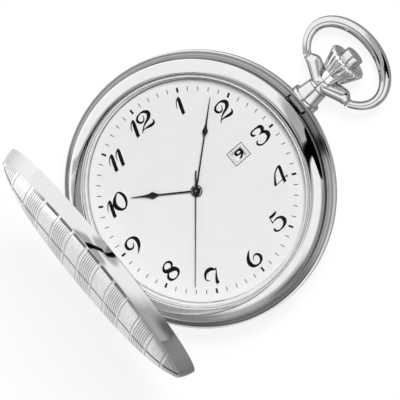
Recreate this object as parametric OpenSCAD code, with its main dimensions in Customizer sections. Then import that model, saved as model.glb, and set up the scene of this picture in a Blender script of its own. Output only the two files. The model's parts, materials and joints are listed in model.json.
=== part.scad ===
// Hunter pocket watch with a sprung front cover, quartz movement and date.
// The watch lies on its back: +Z comes out of the dial, +X points through the
// pendant at 3 o'clock and +Y points at 12. The origin is the middle of the flat
// on the back cover. All sizes are in millimetres.

/* [Case] */
// Diameter over the widest rim of the case
case_d = 50; // [48:0.5:52]
// Radius of the rounded side, and the height of the widest rim over the back
side_r = 7.2; // [7:0.1:7.6]
// Height of the straight rim above the rounded side
rim_h = 0.5; // [0.4:0.05:0.7]
// Width of the flat land that the cover shuts over
land_w = 0.35; // [0.3:0.05:0.5]
// Width of the sloping step inside the land
step_w = 0.9; // [0.8:0.05:1]
// Height of the sloping step
step_h = 0.6; // [0.4:0.05:0.7]
// Height of the joint between the back cover and the middle case
back_joint_z = 2.2; // [2:0.05:2.4]
// Wall of the back cover
back_t = 1; // [0.8:0.05:1.1]
// Wall of the middle case behind its bezel seat
band_wall = 1.65; // [1.5:0.05:1.8]

/* [Bezel and crystal] */
// Width of the polished bezel
bezel_w = 2.8; // [2.6:0.1:3]
// Height of the bezel's inner lip above the dial
bezel_lip = 1.7; // [1.6:0.05:1.9]
// Height of the bezel's outer edge above its seat
bezel_edge = 0.6; // [0.5:0.05:0.8]
// Thickness of the crystal
crystal_t = 0.9; // [0.8:0.05:1]
// Rise of the crystal from its edge to its middle
crystal_rise = 0.5; // [0.3:0.05:0.6]
// Thickness of the crystal gasket
gasket_t = 0.25; // [0.2:0.05:0.3]
// Thickness of the gasket in the back joint
back_gasket_t = 0.2; // [0.15:0.05:0.25]

/* [Front cover] */
// How far the cover's edge stands out past the widest rim
lid_over = 0.4; // [0.3:0.05:0.6]
// How far the cover's side draws in from its edge to the domed face
lid_draw = 1; // [0.8:0.05:1.1]
// Height of the cover's side
lid_side_h = 2.75; // [2.7:0.05:3.2]
// Rise of the domed face above the side
lid_dome_h = 2.05; // [2:0.05:2.5]
// Sheet thickness of the cover
lid_t = 0.5; // [0.4:0.05:0.5]
// How far the cover stands open, in degrees from closed
lid_open = 66.5; // [0:0.5:66.5]
// Gap between the closed cover and the land
lid_gap = 0.1; // [0.1:0.05:0.2]

/* [Cover hinge] */
// How far the hinge line lies inside the widest rim
hinge_in = 0.6; // [0.55:0.05:0.65]
// How far the hinge line lies below the closed cover's edge
hinge_drop = 0.3; // [0.25:0.05:0.35]
// Radius of the hinge knuckles
knuckle_r = 0.7; // [0.65:0.05:0.7]
// Length of the cover's knuckle
lid_knuckle_l = 4; // [3.5:0.1:4.5]
// Length of each knuckle on the case
case_knuckle_l = 3; // [2.5:0.1:3.2]
// Diameter of the hinge pin
hinge_pin_d = 0.7; // [0.6:0.05:0.75]

/* [Pendant and bow] */
// Diameter of the collar at the foot of the pendant
collar_d = 5.8; // [5.4:0.1:5.8]
// How far the collar ends from the widest rim
collar_out = 0.4; // [0.3:0.05:0.6]
// Diameter of the neck beside the collar
neck_d1 = 4.7; // [4.5:0.1:4.9]
// Diameter of the neck beside the yoke
neck_d2 = 4.1; // [4.1:0.05:4.3]
// Length of the neck
neck_l = 2.65; // [2.5:0.05:2.8]
// Length of the yoke along the pendant
yoke_l = 2.2; // [2.1:0.1:2.4]
// Distance from the neck's end to the line that the bow swings on
bow_line = 2.4; // [2.3:0.05:2.5]
// Half the distance between the outer ends of the yoke's arms
arm_half = 5.3; // [5.2:0.05:5.5]
// Half the width of the bow, to the middle of its wire
bow_half_w = 8.5; // [8.2:0.1:9]
// Half the length of the bow, to the middle of its wire
bow_half_l = 5.7; // [5.6:0.05:6]
// Wire diameter at the bow's two ends
wire_d1 = 1.44; // [1.3:0.02:1.5]
// Wire diameter at the bow's far side
wire_d2 = 2.4; // [2.1:0.05:2.4]
// Droop of the bow at rest, in degrees
bow_droop = 10; // [0:1:15]
// Diameter of the pins that the bow swings on
bow_pin_d = 0.8; // [0.7:0.05:0.9]

/* [Crown and push button] */
// Distance from the yoke to the crown, along the sleeve
crown_gap = 1.6; // [1.5:0.05:1.7]
// Length of the fluted crown
crown_l = 3.85; // [3.75:0.05:4]
// Diameter of the crown's narrow end
crown_d1 = 5; // [4.9:0.05:5.2]
// Diameter of the crown's wide end
crown_d2 = 7.7; // [7.6:0.1:8]
// Radius of the crown's rounded rim
crown_rim_r = 0.6; // [0.5:0.05:0.8]
// Number of flutes round the crown
flutes = 24; // [20:2:28]
// Radius of each flute
flute_r = 0.3; // [0.25:0.01:0.34]
// Diameter of the sleeve between the crown and the neck
sleeve_d = 3.3; // [3.2:0.05:3.3]
// Diameter of the push button
button_d = 3.7; // [3.5:0.05:3.8]
// How far the push button stands out of the crown
button_out = 1.5; // [1.4:0.1:1.7]
// Travel of the push button
button_travel = 0.5; // [0.4:0.05:0.5]
// How far the crown pulls out to set the hands
crown_pull = 1; // [0.8:0.05:1]
// Diameter of the winding stem
stem_d = 1.2; // [1.1:0.05:1.25]

/* [Dial and hands] */
// Thickness of the dial
dial_t = 0.4; // [0.35:0.05:0.45]
// Width of the date window
window_w = 2.3; // [2:0.1:2.6]
// Height of the date window
window_h = 1.7; // [1.5:0.1:1.9]
// Distance of the date window from the middle
window_x = 10.2; // [10:0.1:10.4]
// Length of the hour hand
hour_l = 12.2; // [11.5:0.1:12.6]
// Distance of the hour hand's pear from the middle
hour_pear = 8.2; // [7.8:0.1:8.6]
// Length of the minute hand
minute_l = 17.1; // [16.5:0.1:17.4]
// Distance of the minute hand's pear from the middle
minute_pear = 10.9; // [10.4:0.1:11.4]
// Length of the seconds hand
seconds_l = 17.2; // [16.5:0.1:17.4]
// Tail of the seconds hand
seconds_tail = 3.7; // [3.2:0.1:4.2]
// Sheet thickness of the hour and minute hands
hand_t = 0.12; // [0.1:0.01:0.13]

/* [Movement] */
// Radius of the movement
move_r = 13; // [12.8:0.1:13.2]
// How far the stem lies below the face of the dial
stem_drop = 4.5; // [4.5:0.05:4.6]
// Diameter of the battery
battery_d = 7.9; // [7.5:0.1:7.9]
// Thickness of the battery
battery_h = 2.05; // [1.9:0.05:2.1]
// Gear module of the motion work, in millimetres per tooth of diameter
motion_m = 0.13; // [0.125:0.001:0.135]
// Gear module of the going train's outer wheels
train_m = 0.12; // [0.115:0.001:0.12]

/* [Hidden] */
$fn = 96;
eps = 0.01;
// clearances of a running fit, of a press fit and of loose neighbours
run = 0.03;
press = 0.01;
air = 0.1;

// radii of the case, from the widest rim inwards
case_r = case_d / 2;
land_r = case_r - land_w;
step_r = land_r - step_w;
bezel_r = step_r - 1.5 * air;
bezel_in = bezel_r - bezel_w;
bore_r = bezel_r - band_wall;
crystal_r = bezel_in - gasket_t - 0.05;
dial_r = bezel_in - 0.4;
shelf_r = bezel_in - 0.8;
lid_r = case_r + lid_over;
face_r = lid_r - lid_draw;

// heights, from the back flat up
land_z = side_r + rim_h;
seat_z = land_z + 2 * air;
lid_z = land_z + lid_gap;
dial_z = land_z + 1.3;
dial_low = dial_z - dial_t;
lip_z = dial_z + bezel_lip;
crystal_z = lip_z - crystal_t + 0.1;
pend_z = dial_z - stem_drop;

// the middle of the rounded side
side_c = case_r - side_r;
function side_x(z) = side_c + sqrt(side_r * side_r - (side_r - z) * (side_r - z));

// hinge line of the front cover
hinge_x = case_r - hinge_in;
hinge_z = lid_z - hinge_drop;

// places along the pendant
collar_x0 = case_r - 1.6;
collar_x1 = case_r + collar_out;
neck_x = collar_x1 + neck_l;
yoke_x = neck_x + yoke_l;
bow_x = neck_x + bow_line;
crown_x0 = yoke_x + crown_gap;
crown_x1 = crown_x0 + crown_l;
button_x1 = crown_x1 + button_out;
button_x0 = crown_x1 - 0.85;
floor_x = button_x0 - 1.75;
sleeve_x0 = collar_x1 + 0.6;
push_d = 2.2;
push_bore = stem_d + 0.2;
pin_x = floor_x - 0.9;
pin_r = 0.25;

// catch spring in the annulus between the case and the movement ring
leaf_r = bore_r - 0.4;
leaf_t = 0.4;
leaf_z = pend_z - 0.6;
catch_a = -45;
fly_a = 108;
spring_post_r = bore_r - 0.6;
web_z = pend_z + 2;
hook_x = case_r - 1;
hook_t = 0.25;
hook_w = 3.5;
pocket_w = hook_w + 0.8;
push_x0 = leaf_r + 0.25;

// heights in the movement, from the dial down
disc_z = dial_low - 0.55;
plate_z1 = dial_low - 1.3;
plate_z0 = plate_z1 - 1.7;
wall_z0 = plate_z0 - 2.2;
bridge_z0 = wall_z0 - 0.2;
centre_z = plate_z0 - 0.7;
third_z = centre_z - 0.7;
fourth_z = third_z - 0.35;
fifth_z = centre_z - 0.3;
hour_z = plate_z1 + 0.45;
minute_z = plate_z1 + 0.05;

// tooth counts of the gears
centre_n = 64;
third_n = 60;
fourth_n = 40;
fifth_n = 36;
pinion_n = 8;
rotor_n = 6;
cannon_n = 10;
minute_n = 30;
hour_n = 32;
date_n = 64;

// places of the arbors
centre_m = train_m * (pinion_n + third_n) / (pinion_n + centre_n);
third_d = train_m * (pinion_n + third_n) / 2;
third_a = 115;
fifth_d = train_m * (pinion_n + fourth_n) / 2;
fifth_a = -60;
rotor_m = 0.1;
rotor_d = fifth_d + rotor_m * (rotor_n + fifth_n) / 2;
minute_d = motion_m * (cannon_n + minute_n) / 2;
minute_a = 60;
date_d = motion_m * (hour_n + date_n) / 2;
date_a = 235;
battery_a = 210;
battery_at = 8.4;
rotor_x = rotor_d * cos(fifth_a);
rotor_y = rotor_d * sin(fifth_a);
coil_y = -7.6;
coil_half = 4;
wall_r = move_r - 2;
clamp_half = 8.3;
stator_z = fourth_z + 0.05;
stator_t = 0.4;
// posts of the train bridge, of the circuit board and of the date guard
pillars = [[7.6, 75], [7.2, 165], [7.6, 325]];
post_r = 0.8;
board_posts = [[10.1, 37], [5.4, 25], [5.6, 58]];
guard_posts = [[7, 0], [7, 90], [7, 180]];
disc_in = 8.4;
seat_r = move_r - 0.75;
disc_r = seat_r - 0.35;

// pipes of the hour wheel and the cannon pinion, and the arbor that runs in them
hour_pipe_r = 0.75;
cannon_r = 0.45;
second_r = 0.2;

// hands: clock angles, read clockwise from 12
hour_a = 303.6;
minute_hand_a = 50.3;
seconds_a = 221.8;
hour_hand_z = dial_z + 0.3;
minute_hand_z = dial_z + 0.55;
seconds_hand_z = dial_z + 0.78;

steel = "silver";
mirror = "gainsboro";
brass = "goldenrod";

// helpers

module along_x(x) {
    translate([x, 0, pend_z]) rotate([0, 90, 0]) children();
}

module polar(r, a, z) {
    translate([r * cos(a), r * sin(a), z]) children();
}

module ring(r1, r0, h) {
    difference() {
        cylinder(r = r1, h = h);
        translate([0, 0, -1]) cylinder(r = r0, h = h + 2);
    }
}

// a plane sector, used to cut arcs out of rings
module sector(a0, a1, r, h) {
    n = 6;
    pts = [for (i = [0 : n]) let (a = a0 + (a1 - a0) * i / n) [r * cos(a), r * sin(a)]];
    linear_extrude(h) polygon(concat([[0, 0]], pts));
}

// cover, knuckle and hook are drawn shut and turned open about the hinge line
module opened() {
    translate([-hinge_x, 0, hinge_z])
        rotate([0, -lid_open, 0])
            translate([hinge_x, 0, -hinge_z]) children();
}

module bow_pose() {
    translate([bow_x, 0, pend_z]) rotate([0, bow_droop, 0]) children();
}

module clock(a, z) {
    translate([0, 0, z]) rotate([0, 0, 90 - a]) children();
}

// a spur gear with tapered teeth, one tooth or gap pointing along +X
function tooth(n, m, k, r, w) = let (a = 360 / n * k + w) [r * cos(a), r * sin(a)];
module gear(n, m, h, phase = 0) {
    ra = m * (n / 2 + 0.85);
    rr = m * (n / 2 - 1.15);
    wr = 360 / n * 0.29;
    wa = 360 / n * 0.12;
    rotate([0, 0, phase * 360 / n])
        linear_extrude(h)
            polygon([for (k = [0 : n - 1]) each [
                tooth(n, m, k, rr, -wr), tooth(n, m, k, ra, -wa),
                tooth(n, m, k, ra, wa), tooth(n, m, k, rr, wr)]]);
}

// a wheel with four arms between its rim and its hub
module wheel(n, m, h, hub, bore, phase = 0) {
    rim = m * (n / 2 - 1.15) - 0.35;
    difference() {
        gear(n, m, h, phase);
        translate([0, 0, -1]) cylinder(r = bore, h = h + 2);
        for (a = [0 : 90 : 270])
            rotate([0, 0, a])
                intersection() {
                    translate([0, 0, -1]) ring(rim, hub, h + 2);
                    translate([0.16, 0.16, -1]) cube([rim, rim, h + 2]);
                }
    }
}

// a round tube of changing radius along a path of points
function unit(v) = v / norm(v);
function along(p, i) = unit(p[min(i + 1, len(p) - 1)] - p[max(i - 1, 0)]);
function side_of(t, up) = unit(cross(up, t));
module tube(p, r, up, s, t0, t1) {
    n = len(p);
    pts = [for (i = [0 : n - 1])
        let (t = i == 0 ? t0 : i == n - 1 ? t1 : along(p, i))
        let (u = side_of(t, up))
        let (v = cross(t, u))
        for (j = [0 : s - 1])
            p[i] + r[i] * (cos(360 * j / s) * u + sin(360 * j / s) * v)];
    skin = [for (i = [0 : n - 2]) for (j = [0 : s - 1])
        let (a = i * s + j)
        let (b = i * s + (j + 1) % s)
        each [[a, b, a + s], [b, b + s, a + s]]];
    cap0 = [[for (j = [0 : s - 1]) s - 1 - j]];
    cap1 = [[for (j = [0 : s - 1]) (n - 1) * s + j]];
    polyhedron(points = pts, faces = [for (f = concat(skin, cap0, cap1)) [for (k = f) k]]);
}

// case

module middle_case() {
    steps = 14;
    side = [for (i = [0 : steps])
        let (z = back_joint_z + (side_r - back_joint_z) * i / steps) [side_x(z), z]];
    color(mirror)
        difference() {
            union() {
                rotate_extrude()
                    polygon(concat(side, [
                        [case_r, land_z - 0.08], [case_r - 0.08, land_z],
                        [land_r, land_z], [step_r, land_z + step_h],
                        [step_r, seat_z], [bore_r, seat_z], [bore_r, back_joint_z]]));
                case_knuckles(knuckle_r);
                for (a = [catch_a, fly_a]) spring_lug(a);
            }
            // recess for the cover's knuckle and rim
            hinge_bar(hinge_in + 0.55, lid_knuckle_l + 0.1);
            case_knuckle_bore();
            // groove of the back gasket
            translate([0, 0, back_joint_z - eps])
                ring(bore_r + 0.85, bore_r + 0.15, back_gasket_t + 2 * eps);
            // seat and hole of the pendant
            along_x(collar_x0) cylinder(d = collar_d + 0.04, h = 5);
            along_x(bore_r - 1) cylinder(d = 3.24, h = 5);
            catch_pocket();
            translate([step_r - 0.1, -pocket_w / 2, land_z])
                cube([hook_x + hook_t + air - step_r + 0.1, pocket_w, 2]);
            // slot of the fly spring's finger
            translate([-hinge_x, -1.2, web_z - 0.4]) cube([hinge_x - bore_r + 0.5, 2.4, 0.6]);
            // holes of the spring screws
            for (a = [catch_a, fly_a])
                polar(spring_post_r, a, 0) cylinder(r = 0.28, h = leaf_z);
        }
}

module hinge_bar(r, l) {
    translate([-hinge_x, l / 2, hinge_z]) rotate([90, 0, 0]) cylinder(r = r, h = l);
}

module case_knuckles(r) {
    for (s = [-1, 1])
        translate([0, s * (lid_knuckle_l / 2 + 0.05 + case_knuckle_l / 2), 0])
            hinge_bar(r, case_knuckle_l);
}

module case_knuckle_bore() {
    hinge_bar(hinge_pin_d / 2 + press, lid_knuckle_l + 2 * case_knuckle_l + 2);
}

// way for the catch's web from the inside of the case to the cover's edge
module catch_pocket() {
    translate([bore_r - 1, -pocket_w / 2, web_z - air])
        cube([hook_x + hook_t + air - bore_r + 1, pocket_w, 5]);
}

// small ledge inside the case that carries a spring's screw
module spring_lug(a) {
    intersection() {
        translate([0, 0, leaf_z - 0.55]) ring(bore_r + 0.5, bore_r - 1.1, 0.5);
        translate([0, 0, leaf_z - 2]) sector(a - 3.5, a + 3.5, 40, 3);
    }
}

module back_cover() {
    steps = 16;
    gap = 0.02;
    top = back_joint_z - gap;
    outer = [for (i = [0 : steps])
        let (a = (1 - i / steps) * asin((side_r - top) / side_r) + i / steps * 90)
        [side_c + side_r * cos(a), side_r - side_r * sin(a)]];
    spigot = bore_r - 0.05;
    color(mirror)
        rotate_extrude()
            polygon(concat([[0, 0]], [for (i = [steps : -1 : 0]) outer[i]], [
                [spigot, top], [spigot, top + 1.1], [spigot - 0.6, top + 1.1],
                [spigot - 0.75, back_t + 0.7], [side_c + 0.6, back_t], [0, back_t]]));
}

module back_gasket() {
    color("dimgray")
        translate([0, 0, back_joint_z]) ring(bore_r + 0.8, bore_r + 0.2, back_gasket_t);
}

module bezel() {
    steps = 14;
    top_r = bezel_in + 0.45;
    top_z = lip_z + 0.15;
    edge_z = seat_z + bezel_edge;
    brow = [for (i = [0 : steps])
        let (a = 90 * i / steps)
        [top_r + (bezel_r - top_r) * sin(a), edge_z + (top_z - edge_z) * cos(a)]];
    color(mirror)
        rotate_extrude()
            polygon(concat([
                [shelf_r, dial_z + 0.05], [shelf_r, dial_z + 0.28],
                [bezel_in, dial_z + 0.28], [bezel_in, lip_z], [bezel_in + 0.12, lip_z + 0.1]],
                brow, [
                [bezel_r, seat_z], [bore_r - 0.05, seat_z], [bore_r - 0.05, seat_z - 0.9],
                [bore_r - 0.6, seat_z - 0.9], [bore_r - 0.6, dial_low + 0.05],
                [dial_r + 0.1, dial_low + 0.05],
                [dial_r + 0.1, dial_z + 0.05]]));
}

module crystal() {
    steps = 10;
    top = [for (i = [0 : steps]) let (r = crystal_r * i / steps)
        [r, crystal_z + crystal_t + crystal_rise * (1 - pow(r / crystal_r, 2))]];
    low = [for (i = [steps : -1 : 0]) let (r = crystal_r * i / steps)
        [r, crystal_z + crystal_rise * (1 - pow(r / crystal_r, 2))]];
    color("lightcyan", 0.3) rotate_extrude() polygon(concat(top, low));
}

module crystal_gasket() {
    color("whitesmoke")
        rotate_extrude()
            polygon([
                [bezel_in - 0.02, dial_z + 0.3], [bezel_in - 0.02, lip_z - 0.1],
                [crystal_r + 0.02, lip_z - 0.1], [crystal_r + 0.02, crystal_z - 0.02],
                [crystal_r - 0.35, crystal_z - 0.02], [crystal_r - 0.35, dial_z + 0.3]]);
}

// plastic ring that centres the small movement in the large case
module movement_ring() {
    out = leaf_r - leaf_t - 0.45;
    color("ghostwhite")
        difference() {
            union() {
                translate([0, 0, wall_z0 - 0.4])
                    ring(out, move_r + 0.05, dial_low - wall_z0 + 0.4);
                translate([0, 0, back_t + 0.05])
                    ring(side_c, side_c - 1.4, wall_z0 - back_t);
            }
            for (i = [0 : 9])
                polar(move_r + 3.9, 18 + 36 * i, back_t + 2.5)
                    cylinder(r = 2.4, h = 10);
            along_x(move_r - 1) cylinder(d = stem_d + 0.6, h = 12);
        }
}

// front cover and its hinge

// height of the domed face over the edge of its circle
function dome(r, rr) = lid_dome_h * (1 - pow(r / rr, 6.2));

module front_cover() {
    n = 20;
    top_z = lid_z + lid_side_h;
    inner_r = face_r - lid_t;
    outer = [for (i = [0 : n]) let (r = face_r * (1 - pow(i / n, 1.7))) [r, top_z + dome(r, face_r)]];
    inner = [for (i = [n : -1 : 0])
        let (r = inner_r * (1 - pow(i / n, 1.7)))
        [r, top_z - lid_t + dome(r, inner_r)]];
    color(mirror)
        opened()
            difference() {
                union() {
                    rotate_extrude()
                        polygon(concat(
                            [[lid_r - lid_t, lid_z], [lid_r - 0.1, lid_z], [lid_r, lid_z + 0.1]],
                            outer, inner));
                    hook_ledge();
                }
                for (s = [-1, 1])
                    translate([0, s * (lid_knuckle_l / 2 + 0.05 + case_knuckle_l / 2), 0])
                        hinge_bar(knuckle_r + 0.15, case_knuckle_l + 0.3);
                hinge_bar(knuckle_r + press, lid_knuckle_l + 0.4);
            }
}

// ledge inside the cover's rim that the catch holds
module hook_ledge() {
    intersection() {
        translate([0, 0, lid_z + 0.15])
            ring(lid_r - lid_t + 0.05, hook_x + 0.44, 0.38);
        translate([hook_x, -hook_w / 2, lid_z]) cube([lid_r, hook_w, 1]);
    }
}

module cover_knuckle() {
    color(steel)
        opened()
            difference() {
                hinge_bar(knuckle_r, lid_knuckle_l);
                hinge_bar(hinge_pin_d / 2 + run, 30);
            }
}

module hinge_pin() {
    color(steel) hinge_bar(hinge_pin_d / 2, lid_knuckle_l + 2 * case_knuckle_l + 0.1);
}

// eye of a leaf spring round its screw
module spring_eye(a) {
    polar(spring_post_r, a, leaf_z) cylinder(r = 0.55, h = 1.2);
}

// leaf spring that throws the cover open; its finger lies under the cover's knuckle
module fly_spring() {
    color("slategray")
        difference() {
            union() {
                intersection() {
                    translate([0, 0, leaf_z]) ring(leaf_r, leaf_r - leaf_t, web_z + 0.1 - leaf_z);
                    sector(fly_a + 0.5, 183, 40, 20);
                }
                spring_eye(fly_a);
                translate([-hinge_x + 0.2, -0.9, web_z - 0.3])
                    cube([hinge_x - leaf_r + 0.05, 1.8, 0.4]);
            }
            translate([0, 0, leaf_z + 1.2]) sector(95, 165, 40, 9);
            polar(spring_post_r, fly_a, 0) cylinder(r = 0.3, h = 20);
        }
}

// leaf spring with the hook that holds the cover shut; the stem passes through its
// head, and the end of the push button presses on that head
module catch_spring() {
    color("slategray")
        difference() {
            union() {
                intersection() {
                    translate([0, 0, leaf_z - 0.5])
                        ring(leaf_r, leaf_r - leaf_t, web_z + 0.4 - leaf_z + 0.5);
                    translate([0, 0, leaf_z - 1]) sector(catch_a + 0.5, 5.5, 40, 9);
                }
                spring_eye(catch_a);
                // web through the case and the hook above it
                translate([leaf_r - 0.25, -hook_w / 2, web_z])
                    cube([hook_x - leaf_r + 0.25 + hook_t, hook_w, 0.4]);
                translate([hook_x, -hook_w / 2, web_z])
                    cube([hook_t, hook_w, lid_z + 0.7 - web_z]);
                // the hook's nose slopes, so that the closing cover pushes it aside
                intersection() {
                    translate([0, hook_w / 2, lid_z + 0.6])
                        rotate([90, 0, 0])
                            linear_extrude(hook_w)
                                polygon([
                                    [hook_x, 0], [hook_x + 0.6, 0], [hook_x + 0.6, 0.05],
                                    [hook_x + 0.12, 0.35], [hook_x, 0.35]]);
                    cylinder(r = hook_x + 0.55, h = 20);
                }
            }
            translate([0, 0, leaf_z + 1.2]) sector(catch_a - 5, -8, 40, 9);
            translate([0, 0, leaf_z - 9]) sector(catch_a - 5, -8, 40, 9);
            polar(spring_post_r, catch_a, 0) cylinder(r = 0.3, h = 20);
            along_x(leaf_r - 2) cylinder(r = stem_d / 2 + 0.25, h = 3);
        }
}

module spring_screws() {
    color(steel)
        for (a = [catch_a, fly_a])
            polar(spring_post_r, a, leaf_z - 0.5) {
                cylinder(r = 0.27, h = 1.75);
                translate([0, 0, 1.75]) cylinder(r = 0.5, h = 0.3);
            }
}

// pendant, bow and crown

module pendant() {
    color(mirror)
        difference() {
            union() {
                along_x(bore_r + 0.02) cylinder(d = 3.2, h = 4);
                along_x(collar_x0 + 0.02)
                    rotate_extrude()
                        polygon([
                            [0, 0], [collar_d / 2, 0],
                            [collar_d / 2, collar_x1 - collar_x0 - 0.1],
                            [collar_d / 2 - 0.08, collar_x1 - collar_x0 - 0.02],
                            [neck_d1 / 2, collar_x1 - collar_x0 - 0.02],
                            [neck_d2 / 2, neck_x - collar_x0 - 0.02],
                            [0, neck_x - collar_x0 - 0.02]]);
            }
            catch_pocket();
            along_x(bore_r - 1) cylinder(d = push_d + 0.2, h = 20);
            along_x(sleeve_x0 - 0.3) cylinder(d = sleeve_d + 2 * run, h = 20);
        }
}

// fixed piece at the neck's end, with an arm on each side that carries the bow
module bow_yoke() {
    color(mirror)
        difference() {
            union() {
                along_x(neck_x) cylinder(d = neck_d2, h = yoke_l);
                for (s = [-1, 1]) {
                    hull() {
                        translate([neck_x + 1.1, s * 0.7, pend_z])
                            scale([1, 1, 1.55]) sphere(r = 1.35, $fn = 28);
                        translate([bow_x - 0.4, s * 2.4, pend_z]) sphere(r = 1.46, $fn = 28);
                        translate([bow_x + 0.15, s * 3.9, pend_z]) sphere(r = 1.36, $fn = 28);
                    }
                    hull() {
                        translate([bow_x + 0.15, s * 3.9, pend_z]) sphere(r = 1.36, $fn = 28);
                        translate([bow_x, s * (arm_half - 0.4), pend_z]) rotate([s * -90, 0, 0])
                            cylinder(r = 0.85, h = 0.4, $fn = 28);
                    }
                }
            }
            along_x(neck_x - 5) cylinder(d = sleeve_d + 2 * run, h = 20);
            along_x(neck_x - 5) cylinder(d = 20, h = 5);
            for (s = [-1, 1])
                translate([bow_x, s * (arm_half - 1.7), pend_z])
                    rotate([s * -90, 0, 0]) cylinder(d = bow_pin_d + 2 * run, h = 4);
        }
}

function bow_end() = asin((arm_half + 0.4) / bow_half_w);
module bow() {
    n = 44;
    far = bow_half_l * cos(bow_end());
    half = 180 - bow_end();
    path = [for (i = [0 : n]) let (a = -half + 2 * half * i / n)
        [far + bow_half_l * cos(a), bow_half_w * sin(a), 0]];
    wire = [for (i = [0 : n]) let (a = -half + 2 * half * i / n)
        (wire_d1 + (wire_d2 - wire_d1) * pow((1 + cos(a * 180 / half)) / 2, 0.65)) / 2];
    color(mirror) bow_pose() tube(path, wire, [0, 0, 1], 14, [0, -1, 0], [0, 1, 0] * -1);
}

module bow_pins() {
    color(mirror)
        bow_pose()
            for (s = [-1, 1])
                translate([0, s * (arm_half - 1.4), 0]) rotate([s * -90, 0, 0]) {
                    cylinder(d = bow_pin_d, h = 1.5);
                    translate([0, 0, 1.5]) cylinder(d = wire_d1 + 0.3, h = 0.3);
                }
}

module crown() {
    steps = 8;
    rim = [for (i = [0 : steps])
        let (a = 90 - 90 * i / steps)
        [crown_d2 / 2 - crown_rim_r + crown_rim_r * sin(a),
            crown_l - crown_rim_r + crown_rim_r * cos(a)]];
    lean = atan((crown_d2 - crown_d1) / 2 / (crown_l - crown_rim_r));
    color(mirror)
        difference() {
            union() {
                along_x(sleeve_x0) cylinder(d = sleeve_d, h = crown_x0 - sleeve_x0 + 0.5);
                along_x(crown_x0)
                    rotate_extrude()
                        polygon(concat([[0, 0], [crown_d1 / 2, 0]], rim, [[0, crown_l]]));
            }
            for (i = [0 : flutes - 1])
                along_x(crown_x0)
                    rotate([0, 0, 360 / flutes * (i + 0.5)])
                        translate([crown_d1 / 2 + 0.08, 0, 0])
                            rotate([0, lean, 0])
                                translate([0, 0, -1])
                                    cylinder(r = flute_r, h = crown_l + 1, $fn = 24);
            along_x(sleeve_x0 - 1) cylinder(d = push_d + 0.1, h = 20);
            along_x(floor_x) cylinder(d = button_d + 0.1, h = 20);
            // groove of the seal
            along_x(collar_x1 + 1.4) ring(sleeve_d / 2 + 1, sleeve_d / 2 - 0.3, 0.6);
            // cross hole of the pin
            translate([pin_x, 0, pend_z - 2]) cylinder(r = pin_r + press, h = 4);
        }
}

module crown_seal() {
    color("dimgray")
        along_x(collar_x1 + 1.42) ring(sleeve_d / 2 + 0.01, sleeve_d / 2 - 0.28, 0.56);
}

module push_button() {
    color(mirror)
        difference() {
            union() {
                along_x(button_x0)
                    rotate_extrude()
                        polygon([
                            [0, 0], [button_d / 2, 0], [button_d / 2, button_x1 - button_x0 - 0.15],
                            [button_d / 2 - 0.15, button_x1 - button_x0],
                            [0, button_x1 - button_x0]]);
                along_x(push_x0) cylinder(d = push_d, h = button_x0 - push_x0 + 0.5);
            }
            // the bore ends beyond the stem by the button's travel
            along_x(push_x0 - 1)
                cylinder(d = push_bore, h = floor_x + button_travel + 0.9 - push_x0);
            // slot that lets the button move past the crown's pin
            translate([pin_x - pin_r - run, -pin_r - run, pend_z - 3])
                cube([button_travel + 2 * pin_r + 3 * run, 2 * (pin_r + run), 6]);
        }
}

// helical spring between the crown's floor and the button
module button_spring() {
    turns = 3;
    per = 16;
    wire = 0.11;
    l = button_x0 - floor_x - 2 * wire - 0.1;
    r = (push_d + button_d) / 4;
    path = [for (i = [0 : turns * per]) let (a = 360 * i / per)
        [floor_x + wire + 0.05 + l * i / (turns * per), r * cos(a), pend_z + r * sin(a)]];
    n = len(path) - 1;
    color("slategray")
        tube(path, [for (i = [0 : n]) wire], [1, 0, 0], 6, unit(path[1] - path[0]),
            unit(path[n] - path[n - 1]));
}

module winding_stem() {
    color(steel)
        difference() {
            union() {
                along_x(12.6) cylinder(d = stem_d, h = floor_x - 12.8);
                along_x(8.6) translate([-0.36, -0.36, 0]) cube([0.72, 0.72, 4.1]);
                along_x(6.6) cylinder(d = 0.6, h = 2.1);
            }
            translate([pin_x, 0, pend_z - 2]) cylinder(r = pin_r + press, h = 4);
        }
}

module crown_pin() {
    color(steel)
        translate([pin_x, 0, pend_z - 1.6]) cylinder(r = pin_r, h = 3.2);
}

module clutch_pinion() {
    color(steel)
        difference() {
            along_x(8.8) {
                gear(12, 0.14, 0.9);
                translate([0, 0, 0.85]) cylinder(r = 0.62, h = 0.4);
                translate([0, 0, 1.2]) cylinder(r = 0.9, h = 0.4);
            }
            along_x(8) translate([-0.4, -0.4, 0]) cube([0.8, 0.8, 4]);
        }
}

// dial and hands

module dial() {
    color("whitesmoke")
        difference() {
            union() {
                translate([0, 0, dial_low]) cylinder(r = dial_r, h = dial_t);
                for (a = [30, 215])
                    polar(move_r - 0.37, a, dial_low - 1.6) cylinder(r = 0.2, h = 1.7);
            }
            translate([0, 0, dial_low - 1]) cylinder(r = 0.9, h = 4);
            translate([window_x - window_w / 2, -window_h / 2, dial_low - 1])
                cube([window_w, window_h, 4]);
        }
}

// a hand with a pear near its tip: a thin stalk, the pear and a needle point
module pear_hand(l, at, pear_r, stalk, hub, bore, t) {
    linear_extrude(t)
        difference() {
            union() {
                circle(r = hub);
                polygon([[0, -stalk], [at, -stalk * 0.75], [at, stalk * 0.75], [0, stalk]]);
                translate([at, 0]) circle(r = pear_r);
                polygon([
                    [at - pear_r * 2, -stalk * 0.8], [at, -pear_r * 0.98], [at + pear_r * 1.6, -pear_r * 0.45],
                    [at + pear_r * 3.2, -stalk * 0.9], [l, -0.04], [l, 0.04],
                    [at + pear_r * 3.2, stalk * 0.9], [at + pear_r * 1.6, pear_r * 0.45],
                    [at, pear_r * 0.98], [at - pear_r * 2, stalk * 0.8]]);
            }
            circle(r = bore);
        }
}

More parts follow.
